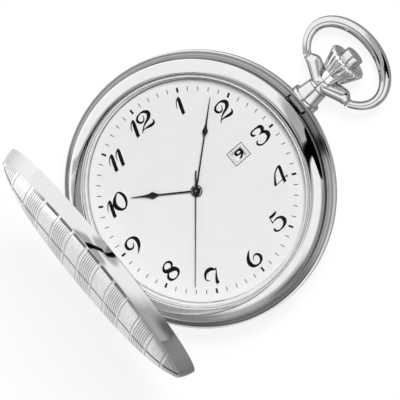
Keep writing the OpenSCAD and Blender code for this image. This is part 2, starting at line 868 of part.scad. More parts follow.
module hour_hand() {
    color("black")
        clock(hour_a, hour_hand_z)
            pear_hand(hour_l, hour_pear, 0.6, 0.16, hour_pipe_r + 0.32, hour_pipe_r + press, hand_t);
}

module minute_hand() {
    color("black")
        clock(minute_hand_a, minute_hand_z)
            pear_hand(minute_l, minute_pear, 0.5, 0.15, cannon_r + 0.3, cannon_r + press, hand_t);
}

module seconds_hand() {
    color("dimgray")
        clock(seconds_a, seconds_hand_z) {
            linear_extrude(0.08)
                difference() {
                    union() {
                        circle(r = second_r + 0.35);
                        polygon([
                            [-seconds_tail, -0.13], [0, -0.11], [seconds_l, -0.05],
                            [seconds_l, 0.05], [0, 0.11], [-seconds_tail, 0.13]]);
                    }
                    circle(r = second_r + press);
                }
        }
}

module date_disc() {
    n = 31;
    color("white")
        translate([0, 0, disc_z])
            difference() {
                cylinder(r = disc_r, h = 0.2);
                translate([0, 0, -1]) cylinder(r = disc_in, h = 3);
                for (i = [0 : n - 1])
                    rotate([0, 0, 360 / n * (i + 0.5)])
                        translate([disc_in, 0, -1]) cylinder(r = 0.35, h = 3, $fn = 16);
            }
}

// plate that keeps the date disc down
module date_guard() {
    color(steel)
        difference() {
            translate([0, 0, disc_z + 0.25]) cylinder(r = disc_in + 0.5, h = 0.2);
            translate([0, 0, disc_z]) cylinder(r = 1.2, h = 2);
            for (p = guard_posts)
                polar(p[0], p[1], disc_z) cylinder(r = 0.3 + press, h = 2);
        }
}

module date_wheel() {
    color(brass)
        polar(date_d, date_a, hour_z - 0.02) {
            wheel(date_n, motion_m, 0.24, 2.7, 0.33, date_phase);
            polar(disc_in + 0.05 - date_d, date_a + 180, 0.1) cylinder(r = 0.25, h = 0.3);
        }
}

module hour_wheel() {
    color(brass)
        difference() {
            union() {
                translate([0, 0, hour_z]) gear(hour_n, motion_m, 0.2);
                translate([0, 0, hour_z])
                    cylinder(r = hour_pipe_r, h = hour_hand_z + hand_t - hour_z);
            }
            translate([0, 0, hour_z - 1]) cylinder(r = cannon_r + 0.05, h = 9);
        }
}

module cannon_pinion() {
    color(steel)
        difference() {
            union() {
                translate([0, 0, centre_z - 0.15])
                    cylinder(r = cannon_r, h = minute_hand_z + hand_t - centre_z + 0.15);
                translate([0, 0, minute_z]) gear(cannon_n, motion_m, 0.35);
            }
            translate([0, 0, centre_z - 1]) cylinder(r = second_r + 0.05, h = 9);
        }
}

module minute_wheel() {
    color(brass)
        polar(minute_d, minute_a, minute_z)
            difference() {
                union() {
                    wheel(minute_n, motion_m, 0.25, 0.75, 0.33, minute_phase);
                    gear(pinion_n, motion_m, 0.65, minute_pinion_phase);
                }
                translate([0, 0, -1]) cylinder(r = 0.33, h = 3);
            }
}

// movement

module main_plate() {
    color("lightgray")
        difference() {
            union() {
                difference() {
                    rotate_extrude()
                        polygon([
                            [0, plate_z0], [wall_r, plate_z0], [wall_r, wall_z0],
                            [move_r, wall_z0], [move_r, dial_low], [seat_r, dial_low],
                            [seat_r, disc_z - 0.05], [seat_r - 1.55, disc_z - 0.05],
                            [seat_r - 1.55, plate_z1], [0, plate_z1]]);
                    polar(battery_at, battery_a, wall_z0 - 1)
                        cylinder(r = battery_d / 2 + air, h = plate_z0 - wall_z0 + 1);
                    along_x(10) cylinder(d = stem_d + 0.1, h = 5);
                }
                plate_posts();
                polar(minute_d, minute_a, plate_z1 - 0.1) cylinder(r = 0.3, h = 0.8);
                polar(date_d, date_a, plate_z1 - 0.1) cylinder(r = 0.3, h = 0.95);
                translate([8.2, -1.2, pend_z - 1]) cube([0.45, 2.4, plate_z0 - pend_z + 1.1]);
            }
            translate([0, 0, wall_z0]) cylinder(r = cannon_r + 0.05, h = 9);
            along_x(6) cylinder(d = 0.6 + 2 * run, h = 4);
            for (a = [30, 215])
                polar(move_r - 0.37, a, dial_low - 2) cylinder(r = 0.22, h = 3);
            screw_holes(0.3 + press, -0.1);
            for (p = [[third_d, third_a], [fifth_d, fifth_a], [rotor_d, fifth_a]])
                polar(p[0], p[1], plate_z0 - 0.5) cylinder(r = 0.18, h = 1.2);
        }
}

// posts that carry the bridge, the stator, the circuit board and the date guard
module plate_posts() {
    for (p = pillars)
        polar(p[0], p[1], bridge_z0 + 0.5)
            cylinder(r = post_r, h = plate_z0 - bridge_z0);
    for (s = [-1, 1])
        translate([rotor_x + s * coil_half, coil_y, stator_z + 2 * stator_t])
            cylinder(r = 0.6, h = plate_z0 - stator_z - stator_t);
    for (p = board_posts) {
        polar(p[0], p[1], wall_z0 + 0.55) cylinder(r = 0.45, h = plate_z0 - wall_z0);
        polar(p[0], p[1], wall_z0 + 0.3) cylinder(r = 0.25, h = 1);
    }
    for (p = guard_posts) {
        polar(p[0], p[1], plate_z1 - 0.1) cylinder(r = 0.5, h = disc_z + 0.35 - plate_z1);
        polar(p[0], p[1], plate_z1 - 0.1) cylinder(r = 0.3, h = disc_z + 0.55 - plate_z1);
    }
}

module centre_wheel() {
    color(brass)
        translate([0, 0, centre_z])
            wheel(centre_n, centre_m, 0.2, 0.95, cannon_r + press, 0);
}

module third_wheel() {
    color(brass)
        polar(third_d, third_a, 0) {
            translate([0, 0, third_z]) wheel(third_n, train_m, 0.2, 0.8, 0.05, third_phase);
            translate([0, 0, centre_z - 0.12]) gear(pinion_n, centre_m, 0.44, third_pinion_phase);
            translate([0, 0, bridge_z0 + 0.2])
                cylinder(r = 0.15, h = plate_z0 + 0.3 - bridge_z0);
        }
}

module fourth_wheel() {
    color(brass) {
        translate([0, 0, fourth_z]) wheel(fourth_n, train_m, 0.15, 0.7, 0.05, 0);
        translate([0, 0, third_z - 0.12]) gear(pinion_n, train_m, 0.44);
        translate([0, 0, bridge_z0 + 0.2])
            cylinder(r = second_r, h = seconds_hand_z + 0.12 - bridge_z0 - 0.2);
    }
}

module fifth_wheel() {
    color(brass)
        polar(fifth_d, fifth_a, 0) {
            translate([0, 0, fifth_z]) wheel(fifth_n, rotor_m, 0.15, 0.7, 0.05, fifth_phase);
            translate([0, 0, fourth_z - 0.1]) gear(pinion_n, train_m, 0.35, fifth_pinion_phase);
            translate([0, 0, bridge_z0 + 0.2])
                cylinder(r = 0.15, h = plate_z0 + 0.3 - bridge_z0);
        }
}

module rotor() {
    color("darkgray")
        polar(rotor_d, fifth_a, 0) {
            translate([0, 0, fifth_z - 0.1]) gear(rotor_n, rotor_m, 0.35, rotor_phase);
            translate([0, 0, fourth_z]) cylinder(r = 0.55, h = 0.5);
            translate([0, 0, bridge_z0 + 0.2])
                cylinder(r = 0.12, h = plate_z0 + 0.3 - bridge_z0);
        }
}

module stator() {
    tip = coil_half + 0.6;
    color("silver")
        translate([0, 0, stator_z])
            difference() {
                union() {
                    translate([rotor_x, rotor_y, 0]) cylinder(r = 1.4, h = stator_t);
                    for (s = [-1, 1])
                        translate([rotor_x, 0, 0])
                            linear_extrude(stator_t)
                                polygon([
                                    [s * tip, coil_y - 0.7], [s * tip, coil_y + 0.9],
                                    [s * 1.1, rotor_y + 0.2], [s * 0.2, rotor_y - 1.15],
                                    [s * 3.3, coil_y + 0.9], [s * 3.3, coil_y - 0.7]]);
                }
                translate([rotor_x, rotor_y, -1]) cylinder(r = 0.75, h = 3);
                for (s = [-1, 1])
                    translate([rotor_x + s * coil_half, coil_y, -1]) cylinder(r = 0.33, h = 3);
            }
}

module coil() {
    color("chocolate")
        difference() {
            translate([rotor_x, coil_y, stator_z + stator_t]) {
                translate([-3, 0, 0.45]) rotate([0, 90, 0]) cylinder(r = 0.8, h = 6);
                translate([-coil_half - 0.6, -0.6, 0]) cube([2 * coil_half + 1.2, 1.2, stator_t]);
            }
            screw_holes(0.33, -1);
        }
}

module circuit_board() {
    color("darkgreen")
        difference() {
            intersection() {
                translate([0, 0, wall_z0 + 0.35]) ring(10.8, 4.6, 0.2);
                sector(14, 66, 40, 20);
            }
            for (p = board_posts)
                polar(p[0], p[1], 0) cylinder(r = 0.25 + press, h = 20);
        }
}

module quartz_can() {
    color("silver")
        translate([6.9, 5.2, wall_z0 + 1.3])
            rotate([0, 90, 130]) translate([0, 0, -2.3]) cylinder(r = 0.73, h = 4.6);
}

module battery() {
    color("lightslategray")
        polar(battery_at, battery_a, plate_z0 - 0.05 - battery_h) {
            cylinder(d = battery_d - 0.5, h = battery_h);
            translate([0, 0, 0.3]) cylinder(d = battery_d, h = battery_h - 0.3);
        }
}

module battery_clamp() {
    color("gold")
        difference() {
            polar(battery_at, battery_a, wall_z0 - 0.2)
                rotate([0, 0, battery_a + 90])
                    translate([-clamp_half - 0.9, -0.75, 0]) cube([2 * clamp_half + 1.8, 1.5, 0.2]);
            translate([0, 0, wall_z0 - 1]) ring(40, move_r - 0.1, 4);
            screw_holes(0.33, -1);
        }
}

module train_bridge() {
    color("silver")
        difference() {
            translate([0, 0, bridge_z0])
                linear_extrude(0.5) {
                    circle(r = 3.2);
                    for (p = pillars) {
                        rotate(p[1]) translate([0, -1]) square([p[0], 2]);
                        rotate(p[1]) translate([p[0], 0]) circle(r = 1.2);
                    }
                    rotate(third_a) translate([third_d, 0]) circle(r = 1.2);
                    rotate(third_a) translate([0, -1]) square([third_d, 2]);
                    rotate(fifth_a) translate([rotor_d, 0]) circle(r = 1);
                    rotate(fifth_a) translate([0, -1]) square([rotor_d, 2]);
                }
            translate([0, 0, bridge_z0 - 1]) cylinder(r = second_r + run, h = 3);
            for (p = [[third_d, third_a], [fifth_d, fifth_a], [rotor_d, fifth_a]])
                polar(p[0], p[1], bridge_z0 - 1) cylinder(r = 0.18, h = 3);
            screw_holes(0.33, -1);
        }
}

// Places of the seven equal screws: three in the bridge, two in the stator and
// two in the battery clamp. The children are put where each head begins.
module at_screws() {
    for (p = pillars)
        polar(p[0], p[1], bridge_z0 - 0.3) children();
    for (s = [-1, 1])
        translate([rotor_x + s * coil_half, coil_y, stator_z - 0.3]) children();
    for (s = [-1, 1])
        polar(battery_at, battery_a, wall_z0 - 0.5)
            rotate([0, 0, battery_a + 90]) translate([s * clamp_half, 0, 0]) children();
}

module screw_holes(r, below) {
    at_screws() translate([0, 0, below]) cylinder(r = r, h = 1.95 - below);
}

module movement_screws() {
    color(steel)
        at_screws() {
            cylinder(r = 0.65, h = 0.3);
            cylinder(r = 0.3, h = 1.9);
        }
}

// Each driven gear is turned so that one of its gaps meets the driver's tooth.
// The driver has a tooth along +X; a is the direction from the driver to the
// driven gear, and n1 and n2 are their tooth counts.
function mesh_phase(a, n1, n2) = ((a + 180) * n2 + a * n1) / 360 + 0.5;
minute_phase = mesh_phase(minute_a, cannon_n, minute_n);
minute_pinion_phase = mesh_phase(minute_a, hour_n, pinion_n);
date_phase = mesh_phase(date_a, hour_n, date_n);
third_phase = mesh_phase(third_a, pinion_n, third_n);
third_pinion_phase = mesh_phase(third_a, centre_n, pinion_n);
fifth_pinion_phase = mesh_phase(fifth_a, fourth_n, pinion_n);
fifth_phase = 0;
rotor_phase = mesh_phase(fifth_a, fifth_n, rotor_n);

middle_case();
back_cover();
back_gasket();
bezel();
crystal();
crystal_gasket();
movement_ring();
front_cover();
cover_knuckle();
hinge_pin();
fly_spring();
catch_spring();
spring_screws();
pendant();
bow_yoke();
bow();
bow_pins();
crown();
crown_seal();
push_button();
button_spring();
winding_stem();
crown_pin();
clutch_pinion();
dial();
hour_hand();
minute_hand();
seconds_hand();
date_disc();
date_guard();
date_wheel();
hour_wheel();
cannon_pinion();
minute_wheel();
main_plate();
centre_wheel();
third_wheel();
fourth_wheel();
fifth_wheel();
rotor();
stator();
coil();
circuit_board();
quartz_can();
battery();
battery_clamp();
train_bridge();
movement_screws();
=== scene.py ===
# %% [markdown]
# # A hunter pocket watch
#
# This lesson dresses a pocket watch whose solid parts were made in CAD. The watch
# lies on its back with its sprung cover open: +Z comes out of the dial, +X points
# through the pendant, +Y points at 12. Everything is in metres. The solids stay where
# they are, and each new piece rides on the body that carries the real one.
#
# The first cell loads the imported model.

# %% Load the imported watch
import json
import math

import bpy
from mathutils import Matrix, Vector


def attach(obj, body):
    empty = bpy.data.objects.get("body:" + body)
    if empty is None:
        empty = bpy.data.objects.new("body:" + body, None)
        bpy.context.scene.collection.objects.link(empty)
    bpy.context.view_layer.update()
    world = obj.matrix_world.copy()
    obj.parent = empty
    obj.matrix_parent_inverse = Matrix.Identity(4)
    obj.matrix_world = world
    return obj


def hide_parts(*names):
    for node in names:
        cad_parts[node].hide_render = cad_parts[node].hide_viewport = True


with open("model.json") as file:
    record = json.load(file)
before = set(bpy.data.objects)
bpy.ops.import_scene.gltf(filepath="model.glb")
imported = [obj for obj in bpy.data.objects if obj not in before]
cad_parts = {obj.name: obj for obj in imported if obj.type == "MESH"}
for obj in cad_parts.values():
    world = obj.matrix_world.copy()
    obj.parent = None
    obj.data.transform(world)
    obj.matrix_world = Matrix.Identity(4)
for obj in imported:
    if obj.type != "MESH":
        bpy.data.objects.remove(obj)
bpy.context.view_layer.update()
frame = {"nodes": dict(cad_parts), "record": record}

MM = 0.001
bpy.context.scene.view_settings.view_transform = "Standard"

# %% [markdown]
# ## The camera
#
# The photograph was taken from above, a little to the right of the dial, with a long
# lens: the ellipse of the case hardly narrows from front to back. A camera 1.5 m away
# with a lens of about 760 mm gives the same flat look. Its direction was found from the
# hour marks, which lie on one circle.

# %% Place the camera
look_from = Vector((0.2995, -0.0745, 0.9512)).normalized()
camera_up = Vector((0.6277, 0.7661, -0.1376))
camera_right = camera_up.cross(look_from).normalized()
camera_up = look_from.cross(camera_right)
aim = Vector((-0.71, -1.61, 9.0)) * MM
distance = 1.5
frame_width = 70.97 * MM

camera_data = bpy.data.cameras.new("camera")
camera_data.sensor_width = 36
camera_data.lens = 36 * distance / frame_width
camera_data.clip_start, camera_data.clip_end = 0.05, 20
camera = bpy.data.objects.new("camera", camera_data)
turn = Matrix((camera_right, camera_up, look_from)).transposed().to_4x4()
camera.matrix_world = Matrix.Translation(aim + look_from * distance) @ turn
bpy.context.scene.collection.objects.link(camera)
bpy.context.scene.camera = camera
print("lens", round(camera_data.lens), "mm")

# %% [markdown]
# ## The studio
#
# Polished steel has no look of its own: it shows what stands round it. A watch is
# photographed in a white tent with a few dark cards, and the cards draw the black
# stripes that make steel look like steel. The tent could be modelled as walls, but a
# world shader does the same with less noise. Most cards are a sector of the sky: the
# dot product of the ray's flat direction with the card's direction says how near the
# ray is to the middle of the card.
#
# The black card beside the pendant is a wedge instead, drawn from how far a ray leans
# towards it and to its side. Its foot spreads, its point lies overhead, and from there
# a thin boom runs across the ceiling. A soft grey hood hangs over the hinge's side.
# Straight from the camera the world is plain white.

# %% White tent with dark cards
world = bpy.data.worlds.new("white_tent")
bpy.context.scene.world = world
world.use_nodes = True
tent = world.node_tree
tent.nodes.clear()


def new(tree, kind):
    return tree.nodes.new("ShaderNode" + kind)


def link(tree, out, into):
    tree.links.new(out, into)


def maths(tree, operation, a, b=0.0):
    node = new(tree, "Math")
    node.operation = operation
    for socket, value in zip(node.inputs, (a, b)):
        if isinstance(value, (int, float)):
            socket.default_value = value
        else:
            link(tree, value, socket)
    return node.outputs[0]


def product(tree, *factors):
    """All factors, each a socket or a number, multiplied together."""
    result = factors[0]
    for factor in factors[1:]:
        result = maths(tree, "MULTIPLY", result, factor)
    return result


def rest_of(tree, share):
    """What is left of 1 when the share is taken off."""
    return maths(tree, "SUBTRACT", 1.0, share)


def fade(tree, value, low, high, to_low=0.0, to_high=1.0):
    """A soft step from one number to another, while the value goes from low to high."""
    node = new(tree, "MapRange")
    node.interpolation_type = "SMOOTHSTEP"
    link(tree, value, node.inputs["Value"])
    for key, number in (("From Min", low), ("From Max", high),
                        ("To Min", to_low), ("To Max", to_high)):
        node.inputs[key].default_value = number
    return node.outputs[0]


def vector(tree, operation, a, b=None):
    """Vector maths on a socket, with three numbers as the second value where it has one."""
    node = new(tree, "VectorMath")
    node.operation = operation
    link(tree, a, node.inputs[0])
    if b is not None:
        node.inputs[1].default_value = b
    return node.outputs["Value" if operation in ("DOT_PRODUCT", "LENGTH") else "Vector"]


def parts_of(tree, place):
    """The X, Y and Z of a vector."""
    split = new(tree, "SeparateXYZ")
    link(tree, place, split.inputs[0])
    return split.outputs


FLAT = (1, 1, 0)
direction = new(tent, "TexCoord").outputs["Generated"]
height = parts_of(tent, direction)["Z"]
level = vector(tent, "NORMALIZE", vector(tent, "MULTIPLY", direction, FLAT))


def towards(ray, azimuth):
    """How far a ray points towards that azimuth."""
    a = math.radians(azimuth)
    return vector(tent, "DOT_PRODUCT", ray, (math.cos(a), math.sin(a), 0))


def card(azimuth, half_width, soft, dark, high=90.0, soft_height=8.0):
    """Darkness of one card: a sector of the tent up to a height, all in degrees."""
    inside = fade(tent, towards(level, azimuth), math.cos(math.radians(half_width + soft)),
                  math.cos(math.radians(half_width)), 0.0, dark)
    if high < 90:
        top = fade(tent, height, math.sin(math.radians(high)),
                   math.sin(math.radians(high + soft_height)), 1.0, 0.0)
        inside = product(tent, inside, top)
    return inside


def between(value, low, high, soft):
    """1 where value lies between two numbers or sockets, fading over soft outside them."""
    return product(tent, fade(tent, maths(tent, "SUBTRACT", value, low), -soft, 0),
                   fade(tent, maths(tent, "SUBTRACT", value, high), 0, soft, 1, 0))


# the black card: each edge leans in towards the point, and fades out to a spread foot
CARD_AZIMUTH, EDGE_SOFT = -24, 0.03
LEFT_SLOPE, LEFT_FOOT = 0.08, (0.68, 0.96, -0.085, -0.34)
RIGHT_SLOPE, RIGHT_FOOT = 0.155, (0.70, 0.96, -0.03, 0.09)
LOW_RIGHT_FOOT = (0.05, 0.2, 0.16, 0.0)
out, aside = towards(direction, CARD_AZIMUTH), towards(direction, CARD_AZIMUTH + 90)
left = maths(tent, "ADD", product(tent, out, LEFT_SLOPE), fade(tent, out, *LEFT_FOOT))
right = maths(tent, "ADD", product(tent, out, RIGHT_SLOPE), fade(tent, out, *RIGHT_FOOT))
right = maths(tent, "ADD", right, fade(tent, height, *LOW_RIGHT_FOOT))
black = product(tent, between(aside, left, right, EDGE_SOFT), fade(tent, out, -0.13, -0.07))
# a thin boom runs from its point across the ceiling
boom = product(tent, between(aside, -0.045, 0.03, 0.012), between(out, -0.6, -0.08, EDGE_SOFT))
black = maths(tent, "MAXIMUM", black, boom)

CEILING = 1.85
# azimuth, half width, soft edge, darkness, upper edge, softness of the upper edge
cards = {
    "grey edge of that card": (-3, 8, 12, 0.55),
    "grey wall in front": (-75, 25, 22, 0.70, 12, 20),
    "grey wall in front, left": (-130, 30, 20, 0.56, 30, 25),
    "grey wall behind the hinge": (-170, 22, 15, 0.42, 40, 20),
    "narrow card at the back left": (161, 2.5, 2, 0.75, 45, 10),
    "thin card at the back": (140, 1.5, 2, 0.5, 50, 8),
}
# straight overhead hangs the camera, and the tent has a grey opening round it
light = fade(tent, height, 0.955, 0.985, CEILING, 0.5 * CEILING)
light = product(tent, rest_of(tent, black), light)
for name, values in cards.items():
    light = product(tent, rest_of(tent, card(*values)), light)
    print("card:", name)
# a soft grey hood over the hinge's side
HOOD_LIGHT = 0.45
hood = product(tent, between(aside, -0.2, 0.12, 0.15), between(out, -0.95, -0.36, 0.1))
light = product(tent, fade(tent, hood, 0, 1, 1.0, HOOD_LIGHT), light)


def background(strength):
    node = new(tent, "Background")
    if isinstance(strength, float):
        node.inputs["Strength"].default_value = strength
    else:
        link(tent, strength, node.inputs["Strength"])
    return node.outputs[0]


def choose(tree, factor, first, second):
    node = new(tree, "MixShader")
    link(tree, factor, node.inputs[0])
    link(tree, first, node.inputs[1])
    link(tree, second, node.inputs[2])
    return node.outputs[0]


seen = new(tent, "LightPath")
in_metal = maths(tent, "MAXIMUM", seen.outputs["Is Glossy Ray"], seen.outputs["Is Transmission Ray"])
SKY = 0.2
inside = choose(tent, in_metal, background(SKY), background(light))
output = new(tent, "OutputWorld")
link(tent, choose(tent, seen.outputs["Is Camera Ray"], inside, background(1.0)), output.inputs[0])

# %% [markdown]
# ## Floor and lamp
#
# The floor is a sheet of white card. It takes the watch's soft shadow, and a little
# light of its own where the camera or glass sees it lifts it to the white of the
# photograph. Polished metal sees the card with painted light and shade on it: a painted
# shadow under the watch and the pendant, and painted light that is dimmer towards 6 and
# brighter beyond 12. From below the floor is clear, so that the back can be looked at.
# One large soft lamp, high on the pendant's side, gives the dial and the floor their
# direction of light.

# %% Lay the floor and hang the lamp
bpy.ops.object.select_all(action="DESELECT")
bpy.ops.mesh.primitive_plane_add(size=6, location=(0, 0, -0.02 * MM))
floor = bpy.context.object
floor.name = "floor"
floor_card = bpy.data.materials.new("white_card")
floor_card.use_nodes = True
sheet = floor_card.node_tree
sheet.nodes.clear()
paper = new(sheet, "BsdfDiffuse")
lift = new(sheet, "Emission")
ray = new(sheet, "LightPath")
looked_at = maths(sheet, "MAXIMUM", ray.outputs["Is Camera Ray"], ray.outputs["Is Transmission Ray"])
where = new(sheet, "TexCoord").outputs["Object"]
PAPER_SEEN, PAPER_MIRRORED, WHITE_SEEN = 0.15, 0.20, 0.88
# levels of the painted light that metal sees on the floor, towards 6, in the middle and beyond 12
DIM_TO_6, MIDDLE, MORE_TO_12 = 0.25, 0.85, 0.6
x, y, _ = parts_of(sheet, where)
# painted shadow: the floor as metal sees it is darkened under the case and under the pendant
painted_shadow_under_case = fade(sheet, vector(sheet, "LENGTH", where), 25 * MM, 31 * MM, 0.75, 0.0)
painted_shadow_under_pendant = product(sheet, fade(sheet, x, 21 * MM, 27 * MM, 0.0, 0.7),
                        fade(sheet, y, 14 * MM, 20 * MM, 1.0, 0.0),
                        fade(sheet, y, -28 * MM, -20 * MM))
# painted light for metal rays: dimmer towards 6, brighter beyond 12; the camera and glass get the even
# white lift
floor_lift_with_painted_light = maths(sheet, "ADD", fade(sheet, y, -36 * MM, -14 * MM, DIM_TO_6, MIDDLE),
             fade(sheet, y, 18 * MM, 38 * MM, 0.0, MORE_TO_12))
floor_lift_with_painted_light = product(sheet, floor_lift_with_painted_light, rest_of(sheet, maths(sheet, "MAXIMUM", painted_shadow_under_case, painted_shadow_under_pendant)),
               rest_of(sheet, looked_at))
floor_lift_with_painted_light = maths(sheet, "ADD", floor_lift_with_painted_light, product(sheet, looked_at, WHITE_SEEN))
link(sheet, floor_lift_with_painted_light, lift.inputs["Strength"])
link(sheet, fade(sheet, looked_at, 0, 1, PAPER_MIRRORED, PAPER_SEEN), paper.inputs["Color"])
both = new(sheet, "AddShader")
link(sheet, paper.outputs[0], both.inputs[0])
link(sheet, lift.outputs[0], both.inputs[1])
below = new(sheet, "NewGeometry").outputs["Backfacing"]
clear = new(sheet, "BsdfTransparent").outputs[0]
link(sheet, choose(sheet, below, both.outputs[0], clear),
     new(sheet, "OutputMaterial").inputs[0])
floor.data.materials.append(floor_card)

LAMP_WIDTH, LAMP_WATTS, LAMP_PLACE = 0.6, 18.6, (0.8, 0.2, 1.1)
lamp_data = bpy.data.lights.new("soft_box", "AREA")
lamp_data.shape, lamp_data.size = "DISK", LAMP_WIDTH
lamp_data.energy = LAMP_WATTS
lamp = bpy.data.objects.new("soft_box", lamp_data)
lamp.location = LAMP_PLACE
lamp.visible_glossy = False
lamp.rotation_mode = "QUATERNION"
lamp.rotation_quaternion = lamp.location.to_track_quat("Z", "Y")
bpy.context.scene.collection.objects.link(lamp)
print("floor and soft box in place")

# %% [markdown]
# ## Finishes
#
# A real surface is never one flat value. Every finish here starts from the same small
# recipe: a Principled shader, a noise that breaks up its roughness, and a finer noise
# that moves its surface by thousandths of a millimetre. Object coordinates are used, so
# a pattern keeps its size in millimetres and stays with the piece when it moves.
# `scale` counts the noise's cells to the metre: 1000 is one to the millimetre.

# %% A recipe for finishes
def blend(tree, factor, first, second):
    """A colour from the first to the second, each a socket or three numbers."""
    node = new(tree, "Mix")
    node.data_type = "RGBA"
    link(tree, factor, node.inputs["Factor"])
    for key, colour in (("A", first), ("B", second)):
        if isinstance(colour, tuple):
            node.inputs[key].default_value = (*colour, 1)
        else:
            link(tree, colour, node.inputs[key])
    return node.outputs["Result"]


def noise(tree, place, scale, detail):
    node = new(tree, "TexNoise")
    node.inputs["Scale"].default_value = scale
    node.inputs["Detail"].default_value = detail
    link(tree, place, node.inputs["Vector"])
    return node.outputs["Fac"]


def finish(name, colour, metallic=0.0, roughness=(0.3, 0.4), scale=800.0, stretch=(1, 1, 1),
           bump=0.0, bump_scale=3000.0, tint=None, rings=False, **fixed):
    """A node material: noise in the roughness, and in the colour where a tint is given.

    With rings the noise depends only on the distance from the Z axis, as a lathe leaves it.
    """
    material = bpy.data.materials.new(name)
    material.use_nodes = True
    tree = material.node_tree
    shader = tree.nodes["Principled BSDF"]
    shader.inputs["Metallic"].default_value = metallic
    for key, value in fixed.items():
        shader.inputs[key.replace("_", " ")].default_value = value
    where = new(tree, "TexCoord").outputs["Object"]
    if rings:
        combine = new(tree, "CombineXYZ")
        link(tree, vector(tree, "LENGTH", vector(tree, "MULTIPLY", where, FLAT)),
             combine.inputs["X"])
        where = combine.outputs[0]
    stretched = new(tree, "Mapping")
    stretched.inputs["Scale"].default_value = stretch
    link(tree, where, stretched.inputs["Vector"])
    cloud = noise(tree, stretched.outputs[0], scale, 4)
    link(tree, fade(tree, cloud, 0.3, 0.7, *roughness), shader.inputs["Roughness"])
    if tint:
        link(tree, blend(tree, fade(tree, cloud, 0.35, 0.65), colour, tint),
             shader.inputs["Base Color"])
    else:
        shader.inputs["Base Color"].default_value = (*colour, 1)
    if bump:
        lift = new(tree, "Bump")
        lift.name = "lift"
        lift.inputs["Strength"].default_value = 1.0
        lift.inputs["Distance"].default_value = bump * MM
        link(tree, noise(tree, stretched.outputs[0], bump_scale, 3), lift.inputs["Height"])
        link(tree, lift.outputs[0], shader.inputs["Normal"])
    return material


mirror_steel = finish("mirror_steel", (0.585, 0.585, 0.58), 1.0, (0.03, 0.06), 350,
                      bump=0.0003, bump_scale=900, tint=(0.56, 0.56, 0.56))
bright_steel = finish("bright_steel", (0.80, 0.80, 0.79), 1.0, (0.12, 0.22), 900,
                      bump=0.001, bump_scale=5000, tint=(0.74, 0.74, 0.73))
spring_steel = finish("spring_steel", (0.36, 0.36, 0.365), 1.0, (0.16, 0.26), 1200, (0.3, 2, 2),
                      bump=0.001, tint=(0.28, 0.28, 0.285))
# turned steel: real lathe rings, but a tone painted far darker than steel, as painted shade for the
# land and step
turned_steel_painted_shade = finish("turned_steel_painted_shade", (0.31, 0.31, 0.31), 1.0, (0.10, 0.20), 3200,
                      bump=0.002, bump_scale=5000, tint=(0.14, 0.14, 0.145), rings=True)
# satin steel: satin roughness, with a tone lighter than polished steel that is a painted highlight
satin_steel_painted_bright = finish("satin_steel_painted_bright", (0.76, 0.76, 0.75), 1.0, (0.07, 0.14), 900,
                     bump=0.0001, bump_scale=2000, tint=(0.72, 0.72, 0.71))
plate_nickel = finish("plate_nickel", (0.78, 0.77, 0.73), 1.0, (0.22, 0.36), 1500, (1, 12, 1),
                      bump=0.0015, bump_scale=2500, tint=(0.70, 0.69, 0.65))
wheel_brass = finish("wheel_brass", (0.83, 0.62, 0.28), 1.0, (0.18, 0.30), 1500,
                     bump=0.001, bump_scale=4000, tint=(0.74, 0.53, 0.22))
ring_plastic = finish("ring_plastic", (0.82, 0.81, 0.78), 0.0, (0.38, 0.52), 700,
                      bump=0.004, bump_scale=2500, tint=(0.77, 0.76, 0.73))
seal_white = finish("seal_white", (0.80, 0.80, 0.79), 0.0, (0.35, 0.5), 900,
                    bump=0.002, tint=(0.74, 0.74, 0.73))
seal_black = finish("seal_black", (0.025, 0.025, 0.027), 0.0, (0.45, 0.6), 900,
                    bump=0.003, tint=(0.04, 0.04, 0.042))
copper_wire = finish("coil_copper", (0.62, 0.24, 0.11), 1.0, (0.2, 0.34), 2500, (20, 1, 1),
                     bump=0.01, bump_scale=900, tint=(0.45, 0.15, 0.07))
board_green = finish("board_green", (0.03, 0.20, 0.09), 0.0, (0.25, 0.4), 900,
                     bump=0.004, bump_scale=2000, tint=(0.05, 0.27, 0.12), Coat_Weight=0.4)
date_white = finish("date_white", (0.86, 0.86, 0.85), 0.0, (0.4, 0.5), 900,
                    bump=0.001, tint=(0.84, 0.84, 0.83))
print("finishes:", len(bpy.data.materials))

# %% [markdown]
# ## Tools of the bench
#
# Most of a watch case is turned on a lathe, so the main tool here is a lathe too. A
# plane is merged to one point, the point is extruded along the profile, and Spin
# sweeps the profile round. The doubles are merged and the normals made to point
# outwards. The profile is radius and height in millimetres.

# %% Lathe, chamfer and smoothing
def edit(select=None):
    """Opens the piece in edit mode, with all of it picked or unpicked where that is asked."""
    bpy.ops.object.mode_set(mode="EDIT")
    if select:
        bpy.ops.mesh.select_all(action=select)


def leave_edit():
    bpy.ops.object.mode_set(mode="OBJECT")


def drop_selection():
    bpy.ops.object.select_all(action="DESELECT")


def pick(*objects):
    drop_selection()
    for each in objects:
        each.select_set(True)
    bpy.context.view_layer.objects.active = objects[0]


def joined(name, *pieces):
    """One piece made of several, with a name."""
    pick(*pieces)
    bpy.ops.object.join()
    bpy.context.object.name = name
    return bpy.context.object


def settle():
    """Puts the object's place and turn into its mesh."""
    bpy.ops.object.transform_apply(location=True, rotation=True, scale=True)


